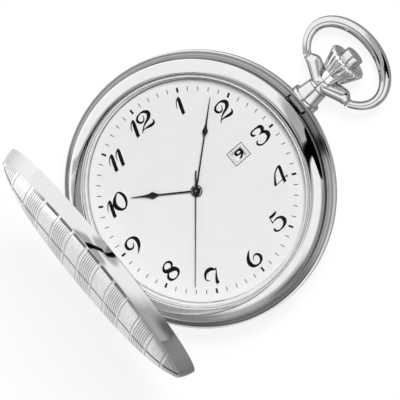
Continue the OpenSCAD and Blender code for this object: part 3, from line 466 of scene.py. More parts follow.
def turned(name, profile, steps=192):
    drop_selection()
    bpy.ops.mesh.primitive_plane_add(size=MM)
    piece = bpy.context.object
    piece.name = name
    edit("SELECT")
    bpy.ops.mesh.merge(type="CENTER")
    bpy.ops.transform.translate(value=(profile[0][0] * MM, 0, profile[0][1] * MM))
    for (r0, z0), (r1, z1) in zip(profile, profile[1:]):
        bpy.ops.mesh.extrude_vertices_move(
            TRANSFORM_OT_translate={"value": ((r1 - r0) * MM, 0, (z1 - z0) * MM)})
    bpy.ops.mesh.select_all(action="SELECT")
    bpy.ops.mesh.spin(steps=steps, angle=2 * math.pi, center=(0, 0, 0), axis=(0, 0, 1))
    bpy.ops.mesh.select_all(action="SELECT")
    bpy.ops.mesh.remove_doubles(threshold=0.0005 * MM)
    bpy.ops.mesh.normals_make_consistent(inside=False)
    leave_edit()
    return piece


def apply_modifier(piece, kind, **settings):
    pick(piece)
    modifier = piece.modifiers.new(kind.lower(), kind)
    for key, value in settings.items():
        setattr(modifier, key, value)
    bpy.ops.object.modifier_apply(modifier=modifier.name)


def chamfer(piece, width, angle=28.0, segments=2):
    apply_modifier(piece, "BEVEL", width=width * MM, segments=segments, limit_method="ANGLE",
                   angle_limit=math.radians(angle), harden_normals=False)


def smooth(piece, angle=24.0):
    pick(piece)
    bpy.ops.object.shade_smooth_by_angle(angle=math.radians(angle))


def cut(piece, *cutters):
    for cutter in cutters:
        apply_modifier(piece, "BOOLEAN", operation="DIFFERENCE", object=cutter, solver="EXACT")
        bpy.data.objects.remove(cutter)


def dress(piece, material, body, slot, *nodes):
    """Gives a finished piece its finish, the body it rides on and the solids it stands for."""
    piece.data.materials.clear()
    piece.data.materials.append(material)
    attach(piece, body)
    if nodes:
        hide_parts(*nodes)
    print(piece.name, "faces:", len(piece.data.polygons))


def rod(radius, depth, middle, turn=(0, 0, 0), sides=64):
    """A plain cylinder in millimetres, used as a cutter or to start a piece."""
    drop_selection()
    bpy.ops.mesh.primitive_cylinder_add(
        vertices=sides, radius=radius * MM, depth=depth * MM,
        location=[v * MM for v in middle], rotation=[math.radians(v) for v in turn])
    settle()
    return bpy.context.object


def hinge_rod(radius, depth, y=0, sides=64):
    """A rod on the line of the hinge."""
    return rod(radius, depth, (-HINGE_X, y, HINGE_Z), (90, 0, 0), sides)


def pendant_rod(radius, depth, x):
    """A rod on the axis of the pendant."""
    return rod(radius, depth, (x, 0, PEND_Z), (0, 90, 0))


def block(size, middle):
    drop_selection()
    bpy.ops.mesh.primitive_cube_add(size=1, location=[v * MM for v in middle],
                                    scale=[v * MM for v in size])
    settle()
    return bpy.context.object


# %% [markdown]
# ## The middle case
#
# The band of the case is a ring with a rounded side, a straight rim, a flat land that
# the cover shuts over and a sloping step up to the bezel. It is turned in one piece.
# Then the places of the hinge, of the pendant and of the catch are cut out.

# %% Turn the middle case
CASE_R, SIDE_R, LAND_Z, SEAT_Z = 25.0, 7.2, 7.7, 7.9
SIDE_C, BACK_JOINT, BORE_R = 17.8, 2.2, 21.95
PEND_Z, COLLAR_X, NECK_X = 4.5, 23.4, 28.05
LAND_R, STEP_R, STEP_TOP = 24.65, 23.75, 8.3
HINGE_X, HINGE_Z = 24.4, 7.5
KNUCKLE_R, KNUCKLE_L, KNUCKLE_Y = 0.7, 3.0, 3.55
HOOK_W, POCKET_W = 3.5, 4.3
ROUND = 256  # faces round the widest pieces

side = []
for i in range(21):
    z = BACK_JOINT + (SIDE_R - BACK_JOINT) * i / 20
    side.append((SIDE_C + math.sqrt(SIDE_R ** 2 - (SIDE_R - z) ** 2), z))
band = turned("case_band", [(BORE_R, SEAT_Z), (BORE_R, BACK_JOINT)] + side + [
    (CASE_R, LAND_Z - 0.1), (CASE_R - 0.03, LAND_Z - 0.03), (CASE_R - 0.1, LAND_Z),
    (LAND_R + 0.03, LAND_Z), (LAND_R - 0.02, LAND_Z + 0.03), (STEP_R + 0.05, STEP_TOP - 0.03),
    (STEP_R, STEP_TOP), (STEP_R, SEAT_Z), (BORE_R, SEAT_Z)], steps=ROUND)
cut(band,
    hinge_rod(1.15, 4.1),
    pendant_rod(2.92, 5, COLLAR_X + 2.5),
    block((0.7, POCKET_W, 2.0), (STEP_R + 0.25, 0, LAND_Z + 1)),
    block((3.4, POCKET_W, 3.0), (BORE_R + 0.7, 0, 7.9)))
smooth(band, 26)
dress(band, mirror_steel, "case", "case_mirror", "middle_case")
# the land and the step take the turned finish, whose dark tone is painted shade on them
band.data.materials.append(turned_steel_painted_shade)
for face in band.data.polygons:
    x, y, z = face.center / MM
    if z > LAND_Z - 0.2 and math.hypot(x, y) < LAND_R + 0.02:
        face.material_index = 1

# %% [markdown]
# The hinge's knuckles on the case were part of the solid that the band replaces, so
# they are made again: two short tubes on the hinge line, with the cover's knuckle
# between them.

# %% Knuckles on the case
knuckles = []
for s in (-1, 1):
    knuckles.append(hinge_rod(KNUCKLE_R, KNUCKLE_L, s * KNUCKLE_Y, 48))
    chamfer(knuckles[-1], 0.06)
knuckles = joined("case_knuckles", *knuckles)
smooth(knuckles)
dress(knuckles, mirror_steel, "case", "case_mirror", "middle_case")

# %% [markdown]
# ## The back cover
#
# The back snaps into the middle case. It is one shallow bowl: a flat middle on which
# the watch lies, and a rounded side that carries on the curve of the band. A thin
# joint line is left between the two, where a case knife goes in.

# %% Turn the back cover
top = BACK_JOINT - 0.02
low_angle = math.asin((SIDE_R - top) / SIDE_R)
bowl = []
for i in range(25):
    a = low_angle + (math.pi / 2 - low_angle) * i / 24
    bowl.append((SIDE_C + SIDE_R * math.cos(a), SIDE_R - SIDE_R * math.sin(a)))
bowl[0] = (bowl[0][0] - 0.04, bowl[0][1])
back = turned("back_bowl", [(0, 1.0), (SIDE_C + 0.6, 1.0), (21.15, 1.7), (21.3, top + 1.1),
                            (21.9, top + 1.1), (21.9, top)] + bowl + [(0, 0)], steps=ROUND)
smooth(back, 26)
dress(back, mirror_steel, "case", "case_mirror", "back_cover")

# %% [markdown]
# ## The bezel
#
# The bezel is the polished ring round the crystal. Its brow is one long curve that
# falls from the lip to an upright foot, and the lip rolls over towards the glass. The
# long curve is what spreads the tent's cards into sickles.

# %% Turn the bezel
BEZEL_R, BEZEL_IN, LIP_Z, DIAL_Z = 23.6, 20.8, 10.7, 9.0
LIP_W, BROW_END = 0.45, math.radians(52)
sweep = (BEZEL_R - 0.06 - BEZEL_IN - LIP_W) / math.sin(BROW_END)
lip, brow = [], []
for i in range(9):
    a = math.pi / 2 * i / 9
    lip.append((BEZEL_IN + LIP_W - LIP_W * math.cos(a), LIP_Z - 0.2 + 0.35 * math.sin(a)))
for i in range(33):
    a = BROW_END * i / 32
    brow.append((BEZEL_IN + LIP_W + sweep * math.sin(a), LIP_Z + 0.15 - sweep * (1 - math.cos(a))))
foot_z = brow[-1][1]
bezel = turned("bezel_ring", [
    (20.0, DIAL_Z + 0.05), (20.0, DIAL_Z + 0.28), (BEZEL_IN, DIAL_Z + 0.28),
    ] + lip + brow + [
    (BEZEL_R - 0.02, foot_z - 0.06), (BEZEL_R, foot_z - 0.14), (BEZEL_R, SEAT_Z),
    (BORE_R - 0.05, SEAT_Z), (BORE_R - 0.05, SEAT_Z - 0.9), (21.35, SEAT_Z - 0.9),
    (21.35, 8.65), (20.5, 8.65), (20.5, DIAL_Z + 0.05), (20.0, DIAL_Z + 0.05)], steps=ROUND)
smooth(bezel, 26)
dress(bezel, mirror_steel, "case", "case_mirror", "bezel")

# %% [markdown]
# ## The crystal
#
# The glass is a thin dome of mineral crystal. A glass shader would bend the dial a
# little and darken it through the light it loses, so the clear look comes from a low
# alpha with a sharp gloss over it. Faint smears sit in its roughness.

# %% Turn the crystal
crystal_clear = finish("crystal_clear", (0.03, 0.03, 0.035), 0.0, (0.01, 0.04), 60,
                       IOR=1.5, Specular_IOR_Level=0.6)
tree = crystal_clear.node_tree
rim_view = new(tree, "LayerWeight")
rim_view.inputs["Blend"].default_value = 0.5
link(tree, fade(tree, rim_view.outputs["Facing"], 0.15, 0.95, 0.012, 0.55),
     tree.nodes["Principled BSDF"].inputs["Alpha"])
CRYSTAL_R, CRYSTAL_Z, CRYSTAL_T, RISE = 20.5, 9.9, 0.9, 0.5
glass_top, glass_low = [], []
for i in range(25):
    r = CRYSTAL_R * i / 24
    bulge = RISE * (1 - (r / CRYSTAL_R) ** 2)
    glass_top.append((r, CRYSTAL_Z + CRYSTAL_T + bulge))
    glass_low.append((r, CRYSTAL_Z + bulge))
glass_top[-1] = (CRYSTAL_R - 0.06, CRYSTAL_Z + CRYSTAL_T)
crystal = turned("crystal_glass", glass_top + [
    (CRYSTAL_R, CRYSTAL_Z + CRYSTAL_T - 0.06)] + glass_low[::-1])
smooth(crystal, 26)
dress(crystal, crystal_clear, "case", "crystal_clear", "crystal")
# the lamp's light passes the glass without loss
crystal.visible_shadow = crystal.visible_diffuse = False

# %% [markdown]
# ## The front cover
#
# The cover is spun from sheet: a mirror-polished side wall, which bulges a little, and
# a domed face outside it that is engraved. It is modelled shut, in a lathe's frame, and
# then swung open about the hinge line, as the real one would be.
#
# The engraving could be cut into the mesh, but its fine lines are a tenth of a
# millimetre wide, so it is better made in the material, where it drives bump and
# colour, and the colour is a painted shade in the grooves. The pattern has to be read in
# the closed cover's frame, and a Mapping node turns the coordinates back by the angle at
# which the cover stands open.

# %% Turn the cover and swing it open
LID_R, LID_Z, LID_SIDE, LID_DOME, LID_T = 25.32, 7.8, 2.75, 2.05, 0.42
FACE_R, FACE_POWER = 24.4, 6.2
BULGE, BULGE_OUT, BULGE_UP = 0.14, 0.935, 0.354
LEDGE_R, LEDGE_T, LEDGE_H, LEDGE_UP = 24.44, 0.48, 0.38, 0.34
LID_OPEN = 66.5
swing = (Matrix.Translation(Vector((-HINGE_X, 0, HINGE_Z)) * MM)
         @ Matrix.Rotation(math.radians(-LID_OPEN), 4, "Y")
         @ Matrix.Translation(Vector((HINGE_X, 0, -HINGE_Z)) * MM))


def dome(r, edge):
    return LID_DOME * (1 - min(r / edge, 1) ** FACE_POWER)


wall_top = LID_Z + LID_SIDE
outer, inner = [], []
for i in range(49):
    t = 1 - (i / 48) ** 1.7
    outer.append((FACE_R * t, wall_top + dome(FACE_R * t, FACE_R)))
    r = (FACE_R - LID_T) * t
    inner.append((r, wall_top - LID_T + dome(r, FACE_R - LID_T)))
wall = []
for i in range(1, 12):
    t = i / 12
    bulge = BULGE * math.sin(math.pi * t)
    wall.append((LID_R + (FACE_R - LID_R) * t + BULGE_OUT * bulge,
                 LID_Z + 0.1 + (LID_SIDE - 0.1) * t + BULGE_UP * bulge))
cover = turned("cover_shell", [
    (LID_R - LID_T, LID_Z), (LID_R - 0.1, LID_Z), (LID_R - 0.03, LID_Z + 0.03),
    (LID_R, LID_Z + 0.1)] + wall + outer + inner[::-1] + [(LID_R - LID_T, LID_Z)], steps=ROUND)
cut(cover, hinge_rod(KNUCKLE_R + 0.15, KNUCKLE_L + 0.3, KNUCKLE_Y),
    hinge_rod(KNUCKLE_R + 0.15, KNUCKLE_L + 0.3, -KNUCKLE_Y), hinge_rod(KNUCKLE_R + 0.01, 4.4))
ledge = block((LEDGE_T, HOOK_W, LEDGE_H), (LEDGE_R + LEDGE_T / 2, 0, LID_Z + LEDGE_UP))
chamfer(ledge, 0.05)
cover = joined("cover_shell", cover, ledge)
cover.matrix_world = swing
settle()
smooth(cover, 26)

# %% [markdown]
# The engraver's pattern: every 7.4 mm a group of fine lines runs across the cover, at
# right angles to the hinge, between two border lines. The cells between the groups are
# brushed by hand, along the lines. One bold dashed line runs parallel to the hinge and
# one along the rim. Each set of lines is a saw wave of the distance across it, made
# into a groove by comparing it with the groove's width. The grooves are painted dark:
# a painted shade in the cut lines.

# %% Engraving for the cover
# the face and the wall have steel tones of their own; the third colour is painted shade for the cut
# lines
FACE_STEEL, WALL_STEEL, GROOVE_PAINTED_SHADE = (0.86, 0.86, 0.855), (0.56, 0.56, 0.56), (0.10, 0.10, 0.105)
PERIOD, GROUP_Y, GROUP_HALF, BORDER_Y = 7.4, -0.33, 1.45, 2.0
FINE_STEP, FINE_HALF, BORDER_HALF = 0.42, 0.06, 0.07
BOLD_X, BOLD_HALF, RIM_LINE_R, RIM_LINE_HALF = 2.3, 0.7, 23.8, 0.38
ONCE = 99.0  # a period wider than the cover, for a single line
engraved_steel = finish("engraved_steel", FACE_STEEL, 1.0, (0.16, 0.24), 500,
                        bump=0.0002, bump_scale=1500)
tree = engraved_steel.node_tree
shader = tree.nodes["Principled BSDF"]
back_turn = swing.inverted()
shut = new(tree, "Mapping")
shut.inputs["Location"].default_value = back_turn.to_translation() * 1000
shut.inputs["Rotation"].default_value = back_turn.to_euler()
shut.inputs["Scale"].default_value = (1000, 1000, 1000)
link(tree, tree.nodes["Texture Coordinate"].outputs["Object"], shut.inputs["Vector"])
along, across, high = parts_of(tree, shut.outputs[0])


def near(value, period, offset, half_width, soft):
    """1 in a groove of that half width, once in each period, and 0 outside it."""
    saw = maths(tree, "PINGPONG", maths(tree, "SUBTRACT", value, offset), period / 2)
    return fade(tree, saw, half_width, half_width + soft, 1.0, 0.0)


from_axis = vector(tree, "LENGTH", vector(tree, "MULTIPLY", shut.outputs[0], FLAT))
border = maths(tree, "MAXIMUM", near(across, PERIOD, GROUP_Y + BORDER_Y, BORDER_HALF, 0.06),
               near(across, PERIOD, GROUP_Y - BORDER_Y, BORDER_HALF, 0.06))
fine = near(across, FINE_STEP, GROUP_Y, FINE_HALF, 0.07)
group = near(across, PERIOD, GROUP_Y, GROUP_HALF, 0.05)
cross_lines = maths(tree, "MAXIMUM", border, product(tree, fine, group))
dash = fade(tree, near(across, PERIOD / 2, GROUP_Y, GROUP_HALF, 0.2), 0, 1, 0.35, 1.0)
# the rim's line is cut deepest in its middle
rim_line = product(tree, near(from_axis, ONCE, RIM_LINE_R, RIM_LINE_HALF, 0.12),
                   fade(tree, across, -16, -5, 0.25, 1.0), fade(tree, across, 11, 18, 1.0, 0.25))
straight_line = near(along, ONCE, BOLD_X, BOLD_HALF, 0.5)
bold = product(tree, maths(tree, "MAXIMUM", straight_line, rim_line), dash)
on_face = fade(tree, high, wall_top + 0.02, wall_top + 0.1)
grooves = product(tree, maths(tree, "MAXIMUM", cross_lines, bold), on_face)
# the plain cells between the lines are brushed by hand, along the lines
brush = new(tree, "Mapping")
brush.inputs["Scale"].default_value = (0.25, 3.0, 1.0)
link(tree, shut.outputs[0], brush.inputs["Vector"])
brushed = fade(tree, noise(tree, brush.outputs[0], 1.0, 3), 0.35, 0.75, 0.0, 0.12)
# the cut lines and the bold lines are painted dark as shade in the grooves; the brushing is the cells'
# own tone
dark = maths(tree, "MAXIMUM", product(tree, cross_lines, 0.46), product(tree, bold, 0.9))
dark = product(tree, maths(tree, "MAXIMUM", dark, brushed), on_face)
# the wall under the face is polished
rough = shader.inputs["Roughness"].links[0].from_socket
link(tree, product(tree, rough, fade(tree, on_face, 0, 1, 0.25, 1.0)),
     shader.inputs["Roughness"])
shade = blend(tree, dark, blend(tree, on_face, WALL_STEEL, FACE_STEEL), GROOVE_PAINTED_SHADE)
link(tree, shade, shader.inputs["Base Color"])
# polished metal whitens at a flat view, and the specular tint keeps the painted shade in the cut lines
# dark there
link(tree, shade, shader.inputs["Specular Tint"])
carve = new(tree, "Bump")
carve.invert = True
carve.inputs["Distance"].default_value = 0.03 * MM
link(tree, grooves, carve.inputs["Height"])
link(tree, tree.nodes["lift"].outputs[0], carve.inputs["Normal"])
link(tree, carve.outputs[0], shader.inputs["Normal"])
dress(cover, engraved_steel, "cover", "cover_engraved", "front_cover")

# %% [markdown]
# ## Pendant
#
# The pendant is the tube that leads out of the case: a low collar and a neck that
# narrows towards the yoke. It is turned about the Z axis and laid along X.

# %% Turn the pendant
def laid(piece, x):
    """Lays a piece turned about Z along the pendant, with its foot at x."""
    pick(piece)
    piece.rotation_euler = (0, math.pi / 2, 0)
    piece.location = (x * MM, 0, PEND_Z * MM)
    settle()


pendant = turned("pendant_tube", [
    (1.68, 2.3), (1.2, 2.25), (1.2, -1.4), (1.6, -1.4), (1.6, 0.02), (2.9, 0.02),
    (2.9, 1.88), (2.88, 1.94), (2.82, 1.98), (2.46, 2.0), (2.38, 2.03), (2.35, 2.1),
    (2.06, 4.59), (2.02, 4.63), (1.68, 4.63), (1.68, 2.3)], steps=128)
laid(pendant, COLLAR_X)
cut(pendant, block((3.4, POCKET_W, 5.0), (BORE_R + 0.7, 0, 6.4 + 2.5)))
smooth(pendant, 26)
dress(pendant, mirror_steel, "case", "case_mirror", "pendant")

# %% [markdown]
# ## Yoke
#
# The yoke at the neck's end has an arm on each side, and swells into the arms in
# one soft form with no seam. Its arms are drawn as a sheet stretched over three round
# bodies, which is what Convex Hull makes. A voxel remesh then melts the neck and the
# two arms into one skin, and smoothing rounds the seams.

# %% Model the yoke
BOW_X, ARM_HALF = 30.45, 5.3


def ball(x, y, radius, tall=1.0):
    drop_selection()
    bpy.ops.mesh.primitive_uv_sphere_add(segments=64, ring_count=32, radius=radius * MM,
                                         location=(x * MM, y * MM, PEND_Z * MM))
    bpy.context.object.scale = (1, 1, tall)
    settle()
    return bpy.context.object


def stretched_over(*forms):
    skin = joined("skin", *forms)
    edit("SELECT")
    bpy.ops.mesh.convex_hull()
    leave_edit()
    return skin


bodies = [pendant_rod(2.05, 2.15, NECK_X + 1.075)]
for s in (-1, 1):
    bodies.append(stretched_over(
        ball(NECK_X + 1.1, s * 0.7, 1.35, 1.55), ball(BOW_X - 0.4, s * 2.4, 1.46),
        ball(BOW_X + 0.15, s * 3.9, 1.36)))
    bodies.append(stretched_over(
        ball(BOW_X + 0.15, s * 3.9, 1.36),
        rod(0.88, 0.4, (BOW_X, s * (ARM_HALF - 0.2), PEND_Z), (90, 0, 0))))
yoke = joined("yoke_arms", *bodies)
apply_modifier(yoke, "REMESH", mode="VOXEL", voxel_size=0.09 * MM)
apply_modifier(yoke, "SMOOTH", factor=0.5, iterations=12)
cut(yoke, pendant_rod(1.68, 8, NECK_X + 1.5), block((4, 6, 6), (NECK_X - 2, 0, PEND_Z)))
smooth(yoke, 35)
dress(yoke, mirror_steel, "case", "case_mirror", "bow_yoke")

# %% [markdown]
# ## Bow
#
# The bow is bent from wire that is thickest at its far side. A curve with a round
# bevel is the plain way to a bent wire, and each point's radius gives the taper. It is
# made a mesh at once, then tilted about the line of its pins.

# %% Bend the bow
BOW_HALF_W, BOW_HALF_L, DROOP = 8.5, 5.7, 10.0
WIRE_1, WIRE_2, TAPER = 1.44, 2.4, 0.65
end = math.asin((ARM_HALF + 0.4) / BOW_HALF_W)
far = BOW_HALF_L * math.cos(end)
half = math.pi - end
tilt = (Matrix.Translation(Vector((BOW_X, 0, PEND_Z)) * MM)
        @ Matrix.Rotation(math.radians(DROOP), 4, "Y"))
drop_selection()
bpy.ops.curve.primitive_nurbs_path_add()
bow = bpy.context.object
bow.name = "bow_ring"
bow.data.splines.clear()
line = bow.data.splines.new("POLY")
count = 97
line.points.add(count - 1)
for i in range(count):
    a = -half + 2 * half * i / (count - 1)
    line.points[i].co = ((far + BOW_HALF_L * math.cos(a)) * MM, BOW_HALF_W * math.sin(a) * MM, 0, 1)
    spread = (1 + math.cos(a * math.pi / half)) / 2
    line.points[i].radius = (WIRE_1 + (WIRE_2 - WIRE_1) * spread ** TAPER) / WIRE_2
bow.data.dimensions = "3D"
bow.data.bevel_depth = WIRE_2 / 2 * MM
bow.data.bevel_resolution = 10
bow.data.use_fill_caps = True
bpy.ops.object.convert(target="MESH")
bow = bpy.context.object
bow.matrix_world = tilt
settle()
smooth(bow, 40)
dress(bow, mirror_steel, "bow", "case_mirror", "bow")

# %% [markdown]
# Each end of the bow has a small collar and a pin that runs into the yoke's arm.

# %% Collars and pins of the bow
pins = []
for s in (-1, 1):
    pin = turned("pin", [(0, 0), (0.36, 0), (0.4, 0.04), (0.4, 1.5), (0.8, 1.5), (0.87, 1.56),
                         (0.87, 1.74), (0.8, 1.8), (0, 1.8)], steps=48)
    pin.rotation_euler = (-s * math.pi / 2, 0, 0)
    pin.location = (0, s * (ARM_HALF - 1.4) * MM, 0)
    settle()
    pins.append(pin)
pins = joined("bow_collars", *pins)
pins.matrix_world = tilt
settle()
smooth(pins)
dress(pins, mirror_steel, "bow", "case_mirror", "bow_pins")

# %% [markdown]
# ## Crown
#
# The crown is a fluted cone with a rounded rim on a plain sleeve. Its 24 flutes run up
# the cone and over the rim. It is turned with ten columns of faces to a flute, and the
# middle columns of each flute are pressed in along their normals, which gives a clean
# round groove without any boolean. All of it is satin, in a steel lighter than the
# polished one: a painted highlight over the satin finish.

# %% Turn and flute the crown
SLEEVE_X0, CROWN_X0, CROWN_L, CROWN_D1, CROWN_D2, RIM_R = 26.0, 31.85, 3.85, 5.0, 7.7, 0.6
FLUTES, BUTTON_D = 24, 3.7
foot = CROWN_X0 - SLEEVE_X0
rim = [(CROWN_D2 / 2 - RIM_R + RIM_R * math.cos(math.radians(7.5 * i)),
        foot + CROWN_L - RIM_R + RIM_R * math.sin(math.radians(7.5 * i))) for i in range(13)]
flank = [(CROWN_D1 / 2 + (CROWN_D2 - CROWN_D1) / 2 * i / 8,
          foot + 0.08 + (CROWN_L - RIM_R - 0.08) * i / 8) for i in range(8)]
crown = turned("crown_cone", [
    (1.15, 0), (1.65, 0), (1.65, foot), (CROWN_D1 / 2 - 0.35, foot)] + flank + rim + [
    (BUTTON_D / 2 + 0.1, foot + CROWN_L), (BUTTON_D / 2 + 0.05, foot + CROWN_L - 0.05),
    (BUTTON_D / 2 + 0.05, foot + 1.25), (1.15, foot + 1.25), (1.15, 0)], steps=10 * FLUTES)
pick(crown)
for column, depth in ((0, 0.25), (1, 0.18), (2, 0.06)):
    edit("DESELECT")
    leave_edit()
    for vertex in crown.data.vertices:
        x, y, z = vertex.co / MM
        r = math.hypot(x, y)
        step = round(math.degrees(math.atan2(y, x)) / (36 / FLUTES)) % 10
        # near the top only the rim's outer part is pressed, not the end face
        on_rim = z <= foot + CROWN_L - 0.3 or r > CROWN_D2 / 2 - RIM_R + 0.35
        vertex.select = min(step, 10 - step) == column and r > 2.0 and z > foot + 0.04 and on_rim
    edit()
    bpy.ops.transform.shrink_fatten(value=-depth * MM)
    leave_edit()
laid(crown, SLEEVE_X0)
smooth(crown, 30)
dress(crown, satin_steel_painted_bright, "crown", "case_mirror", "crown")

# %% [markdown]
# The push button is the plain plug in the middle of the crown. Its edge is broken, and
# its end face is left satin, in the lighter steel that paints a highlight on it.

# %% Turn the push button
BUTTON_X0, BUTTON_X1, PUSH_X0 = 34.85, 37.2, 21.8
button = turned("button_plug", [
    (0.7, 0), (1.1, 0), (1.1, BUTTON_X0 - PUSH_X0), (1.8, BUTTON_X0 - PUSH_X0),
    (1.85, BUTTON_X0 - PUSH_X0 + 0.05), (1.85, BUTTON_X1 - PUSH_X0 - 0.15),
    (1.82, BUTTON_X1 - PUSH_X0 - 0.06), (1.76, BUTTON_X1 - PUSH_X0 - 0.01),
    (1.68, BUTTON_X1 - PUSH_X0), (0, BUTTON_X1 - PUSH_X0), (0, 11.7), (0.7, 11.7), (0.7, 0)], steps=96)
laid(button, PUSH_X0)
smooth(button)
dress(button, mirror_steel, "button", "case_mirror", "push_button")
button.data.materials.append(satin_steel_painted_bright)
for face in button.data.polygons:
    if face.normal.x > 0.95 and face.center.x > (BUTTON_X1 - 0.1) * MM:
        face.material_index = 1

# %% [markdown]
# ## The dial's numerals
#
# The numerals are slanted, with thick and thin strokes, as a broad pen draws them. A
# pen is also the way to make them: each numeral is a few strokes, each stroke a smooth
# curve, and each point of it says how wide the nib stands there. The nib is a short
# straight line given to the curve as its bevel object, and the point's radius scales
# it. The ink spreads a little, so a stroke comes out wider than the nib. The drawing is
# made a mesh before it is put on the dial.

# %% Draw the numerals with a broad nib
INK_T, INK_SPREAD = 0.006, 1.42
dial_ink = finish("dial_ink", (0.004, 0.004, 0.004), 0.0, (0.35, 0.5), 2500, bump=0.001,
                  tint=(0.008, 0.008, 0.009), Specular_IOR_Level=0.1)
# points of each stroke: across, up and width of the nib, in hundredths of a millimetre
PEN = {
    "1": [[(160, 300, 20), (145, 260, 42), (105, 160, 50), (65, 60, 48), (47, 12, 50)],
          [(10, 142, 5), (35, 195, 12), (70, 240, 14), (130, 288, 14)],
          [(10, 3, 5), (47, 8, 16), (90, 10, 5)]],
    "2": [[(218, 244, 7), (204, 204, 12), (147, 159, 20), (96, 181, 30), (74, 227, 36),
           (102, 276, 28), (164, 300, 18), (232, 303, 20), (295, 272, 42), (323, 227, 56),
           (300, 176, 50), (238, 138, 34), (159, 113, 24), (91, 79, 16), (40, 40, 14),
           (2, 6, 10)],
          [(45, 38, 10), (90, 42, 14), (150, 33, 28), (220, 20, 38), (280, 20, 36),
           (310, 42, 24), (317, 85, 8)]],
    "3": [[(100, 224, 16), (62, 227, 26), (43, 255, 30), (62, 293, 24), (125, 304, 17),
           (204, 300, 24), (260, 278, 48), (274, 244, 56), (255, 210, 44), (210, 184, 26),
           (153, 179, 10)],
          [(200, 184, 20), (266, 159, 42), (293, 113, 62), (283, 68, 54), (238, 34, 34),
           (170, 11, 20), (102, 9, 17), (45, 34, 24), (20, 70, 28), (34, 102, 20),
           (74, 119, 7)]],
    "4": [[(304, 300, 30), (290, 260, 42), (260, 180, 42), (230, 100, 42), (202, 15, 42)],
          [(160, 4, 6), (202, 8, 14), (235, 6, 10)],
          [(290, 295, 20), (210, 266, 17), (140, 220, 20), (82, 153, 26), (35, 90, 32),
           (5, 62, 20)],
          [(10, 63, 12), (150, 63, 10), (295, 66, 12)],
          [(297, 90, 6), (297, 66, 24), (297, 42, 6)]],
    "5": [[(72, 286, 30), (140, 284, 36), (210, 292, 30), (255, 312, 6)],
          [(82, 280, 14), (60, 185, 14)],
          [(48, 182, 8), (120, 197, 15), (198, 195, 24), (255, 160, 42), (270, 104, 58),
           (244, 53, 46), (176, 19, 26), (96, 8, 17), (34, 25, 24), (12, 59, 32),
           (23, 99, 20)]],
    "6": [[(181, 315, 6), (113, 264, 28), (51, 190, 48), (30, 128, 58), (45, 66, 50),
           (91, 26, 30), (147, 12, 20), (210, 26, 28), (255, 66, 42), (269, 111, 44),
           (249, 162, 32), (210, 185, 20), (164, 173, 14), (130, 134, 8), (119, 110, 5)]],
    "7": [[(62, 130, 5), (28, 153, 13), (11, 198, 20), (40, 250, 30), (96, 289, 42),
           (159, 295, 50), (221, 272, 44), (261, 232, 20), (306, 246, 6)],
          [(295, 242, 10), (250, 181, 16), (198, 119, 28), (159, 57, 42), (142, 15, 56)],
          [(100, 4, 6), (140, 8, 14), (185, 14, 6)]],
    "8": [[(193, 207, 20), (227, 241, 30), (235, 281, 38), (204, 317, 28), (153, 331, 18),
           (96, 315, 20), (57, 279, 30), (45, 241, 46), (74, 202, 52), (136, 181, 56),
           (204, 162, 58), (244, 122, 50), (246, 77, 40), (210, 34, 24), (147, 11, 17)],
          [(147, 11, 17), (85, 15, 22), (34, 49, 38), (23, 94, 40), (45, 134, 28),
           (79, 162, 20)]],
    "9": [[(170, 215, 6), (147, 170, 14), (96, 142, 22), (45, 159, 32), (19, 204, 42),
           (34, 261, 38), (79, 300, 24), (142, 312, 20), (204, 295, 28), (249, 249, 50),
           (257, 193, 56), (238, 130, 46), (193, 74, 30), (142, 28, 16), (108, 3, 5)]],
    "0": [[(193, 310, 16), (125, 276, 28), (62, 224, 46), (25, 156, 60), (40, 77, 50),
           (85, 23, 30), (136, 11, 20), (198, 43, 26), (244, 111, 38), (263, 190, 42),
           (249, 264, 34), (221, 302, 20), (193, 310, 16)]],
}
# each digit's lower left corner on the dial, in millimetres
DIGITS = [("1", -2.43, 14.02), ("2", -1.01, 13.95), ("1", 6.78, 11.79), ("2", 11.38, 6.15),
          ("3", 13.93, -1.585), ("4", 11.59, -9.15), ("5", 6.30, -15.03), ("6", -1.44, -17.20),
          ("7", -9.44, -14.96), ("8", -14.73, -9.36), ("9", -17.08, -1.60), ("1", -15.37, 5.98),
          ("0", -13.76, 5.98), ("1", -9.61, 11.96), ("1", -7.97, 11.96)]
drop_selection()
bpy.ops.curve.primitive_nurbs_path_add()
nib = bpy.context.object
nib.data.splines.clear()
edge = nib.data.splines.new("POLY")
edge.points.add(1)
edge.points[0].co, edge.points[1].co = (-0.5 * MM, 0, 0, 1), (0.5 * MM, 0, 0, 1)
bpy.ops.curve.primitive_bezier_curve_add()
numerals = bpy.context.object
numerals.name = "dial_numerals"
numerals.data.splines.clear()
numerals.data.twist_mode = "Z_UP"
numerals.data.bevel_mode, numerals.data.bevel_object = "OBJECT", nib
numerals.data.resolution_u = 6
for digit, x0, y0 in DIGITS:
    for stroke in PEN[digit]:
        line = numerals.data.splines.new("BEZIER")
        line.bezier_points.add(len(stroke) - 1)
        for point, (x, y, width) in zip(line.bezier_points, stroke):
            point.co = ((x0 + x / 100) * MM, (y0 + y / 100) * MM, 0)
            point.handle_left_type = point.handle_right_type = "AUTO"
            point.radius = INK_SPREAD * (width / 100)
pick(numerals)
bpy.ops.object.convert(target="MESH")
numerals = bpy.context.object
bpy.data.objects.remove(nib)


def lay_ink(print_, under=DIAL_Z, body="case"):
    """Turns all faces of a flat print up and lays it on the height under it."""
    pick(print_)
    edit("DESELECT")
    leave_edit()
    for face in print_.data.polygons:
        face.select = face.normal.z < 0
    edit()
    bpy.ops.mesh.flip_normals()
    leave_edit()
    print_.location.z = (under + INK_T) * MM
    settle()
    dress(print_, dial_ink, body, "hand_black")


lay_ink(numerals)

# %% [markdown]
# ## The dial's scale and window
#
# A bold dash stands outside each numeral and a thin one at each minute between them.
# One dash is a plane, and Spin with duplicates carries it round. The two frames round
# the date window are planes too, inset by the width of their line, with the middle
# taken out.

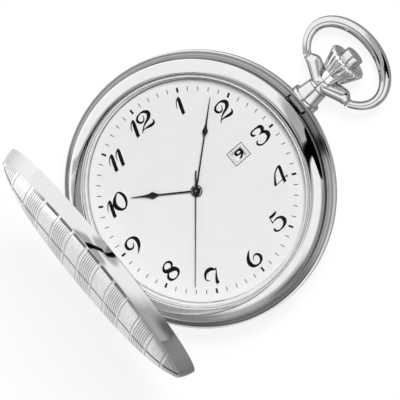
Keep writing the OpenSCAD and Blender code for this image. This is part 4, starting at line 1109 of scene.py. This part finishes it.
# %% Draw the dashes and the frames
def sheet_of_ink(middle_x, length, width):
    drop_selection()
    bpy.ops.mesh.primitive_plane_add(size=1, location=(middle_x * MM, 0, 0))
    bpy.context.object.scale = (length * MM, width * MM, 1)
    settle()
    return bpy.context.object


def dash_ring(name, r0, r1, width, every, skip):
    dashes = sheet_of_ink((r0 + r1) / 2, r1 - r0, width)
    dashes.name = name
    edit("SELECT")
    steps = round(360 / every) - 1
    bpy.ops.mesh.spin(steps=steps, dupli=True, angle=math.radians(every * steps),
                      center=(0, 0, 0), axis=(0, 0, 1))
    bpy.ops.mesh.select_all(action="DESELECT")
    leave_edit()
    for face in dashes.data.polygons:
        turn = math.degrees(math.atan2(face.center.y, face.center.x)) % skip if skip else 90
        face.select = min(turn, (skip or 180) - turn) < 0.5
    edit()
    bpy.ops.mesh.delete(type="FACE")
    leave_edit()
    return dashes


SCALE_R = 18.65
lay_ink(dash_ring("hour_dashes", 17.75, SCALE_R, 0.38, 30, 0))
lay_ink(dash_ring("minute_dashes", 17.85, SCALE_R, 0.14, 6, 30))

frames = []
for x0, x1, half, width in ((8.45, 12.05, 1.40, 0.13), (8.95, 11.55, 0.98, 0.035)):
    frames.append(sheet_of_ink((x0 + x1) / 2, x1 - x0, 2 * half))
    edit("SELECT")
    bpy.ops.mesh.inset(thickness=width * MM)
    bpy.ops.mesh.delete(type="FACE")
    leave_edit()
lay_ink(joined("window_frames", *frames))

# %% [markdown]
# ## The numbers on the date disc
#
# The disc carries 1 to 31, evenly spaced. The one in the window stands upright in the
# dial's frame, so each is written on the +X side and turned to its place. They ride on
# the disc's body, and turn with it.

# %% Print the date disc
DISC_Z, DATE_R, SHOWN = 8.25, 10.2, 9
DATE_SIZE, DATE_BOLD, WIDE_ONE, WIDE_TWO = 2.25, 0.05, 1.75, 1.15
dates = []
for number in range(1, 32):
    drop_selection()
    bpy.ops.object.text_add()
    text = bpy.context.object
    text.data.body = str(number)
    text.data.align_x, text.data.align_y = "CENTER", "CENTER"
    text.data.size, text.data.offset = DATE_SIZE * MM, DATE_BOLD * MM
    text.data.resolution_u = 4
    bpy.ops.object.convert(target="MESH")
    text = bpy.context.object
    corners = [v.co for v in text.data.vertices]
    middle = [(min(c[i] for c in corners) + max(c[i] for c in corners)) / 2 for i in (0, 1)]
    text.location = (-middle[0], -middle[1], 0)
    settle()
    text.scale = (WIDE_ONE if number < 10 else WIDE_TWO, 1, 1)
    text.location = (DATE_R * MM, 0, 0)
    settle()
    text.rotation_euler = (0, 0, 2 * math.pi * (number - SHOWN) / 31)
    settle()
    dates.append(text)
lay_ink(joined("date_numbers", *dates), DISC_Z, "date")

# %% [markdown]
# ## The hub of the hands
#
# Over the hour hand's hub lies a thin bright ring, where its pipe is riveted. A small
# black cap closes the seconds hand, with the end of its arbor in the middle.

# %% Turn the hub's ring and cap
hand_black = finish("hand_black", (0.010, 0.010, 0.011), 0.0, (0.25, 0.4), 1500,
                    bump=0.0005, tint=(0.018, 0.018, 0.02), Specular_IOR_Level=0.2)
HOUR_TOP, SECONDS_TOP = DIAL_Z + 0.42, DIAL_Z + 0.86
for name, body, metal, slot, base, steps, profile in (
        ("hour_pipe_ring", "hours", bright_steel, "bright_steel", HOUR_TOP, 64,
         [(0.78, 0), (0.78, 0.03), (0.82, 0.05), (0.88, 0.03), (0.89, 0), (0.78, 0)]),
        ("seconds_cap", "seconds", hand_black, "hand_black", SECONDS_TOP, 64,
         [(0, 0.09), (0.20, 0.085), (0.36, 0.06), (0.44, 0.02), (0.45, 0), (0, 0)]),
        ("arbor_end", "seconds", bright_steel, "bright_steel", SECONDS_TOP, 32,
         [(0, 0.13), (0.07, 0.125), (0.11, 0.10), (0.12, 0.08), (0, 0.08)])):
    piece = turned(name, [(r, base + z) for r, z in profile], steps)
    smooth(piece)
    dress(piece, metal, body, slot)

# %% [markdown]
# ## Solids that stay
#
# The parts inside the case keep their CAD shape. Each gets the finish of its
# material slot.

# %% Finishes for the solids
dial_silver = finish("dial_silver", (0.86, 0.86, 0.86), 0.0, (0.40, 0.50), 300,
                     bump=0.0008, bump_scale=9000, tint=(0.845, 0.845, 0.85))
finishes = {
    "case_mirror": mirror_steel, "cover_engraved": engraved_steel, "crystal_clear": crystal_clear,
    "seal_white": seal_white, "seal_black": seal_black, "dial_silver": dial_silver,
    "hand_black": hand_black, "spring_steel": spring_steel, "bright_steel": bright_steel,
    "plate_nickel": plate_nickel, "wheel_brass": wheel_brass, "ring_plastic": ring_plastic,
    "date_white": date_white, "coil_copper": copper_wire, "board_green": board_green}
for entry in frame["record"]["subparts"]:
    node = frame["nodes"][entry["node"]]
    node.data.materials.clear()
    node.data.materials.append(finishes[entry["material_slot"]])
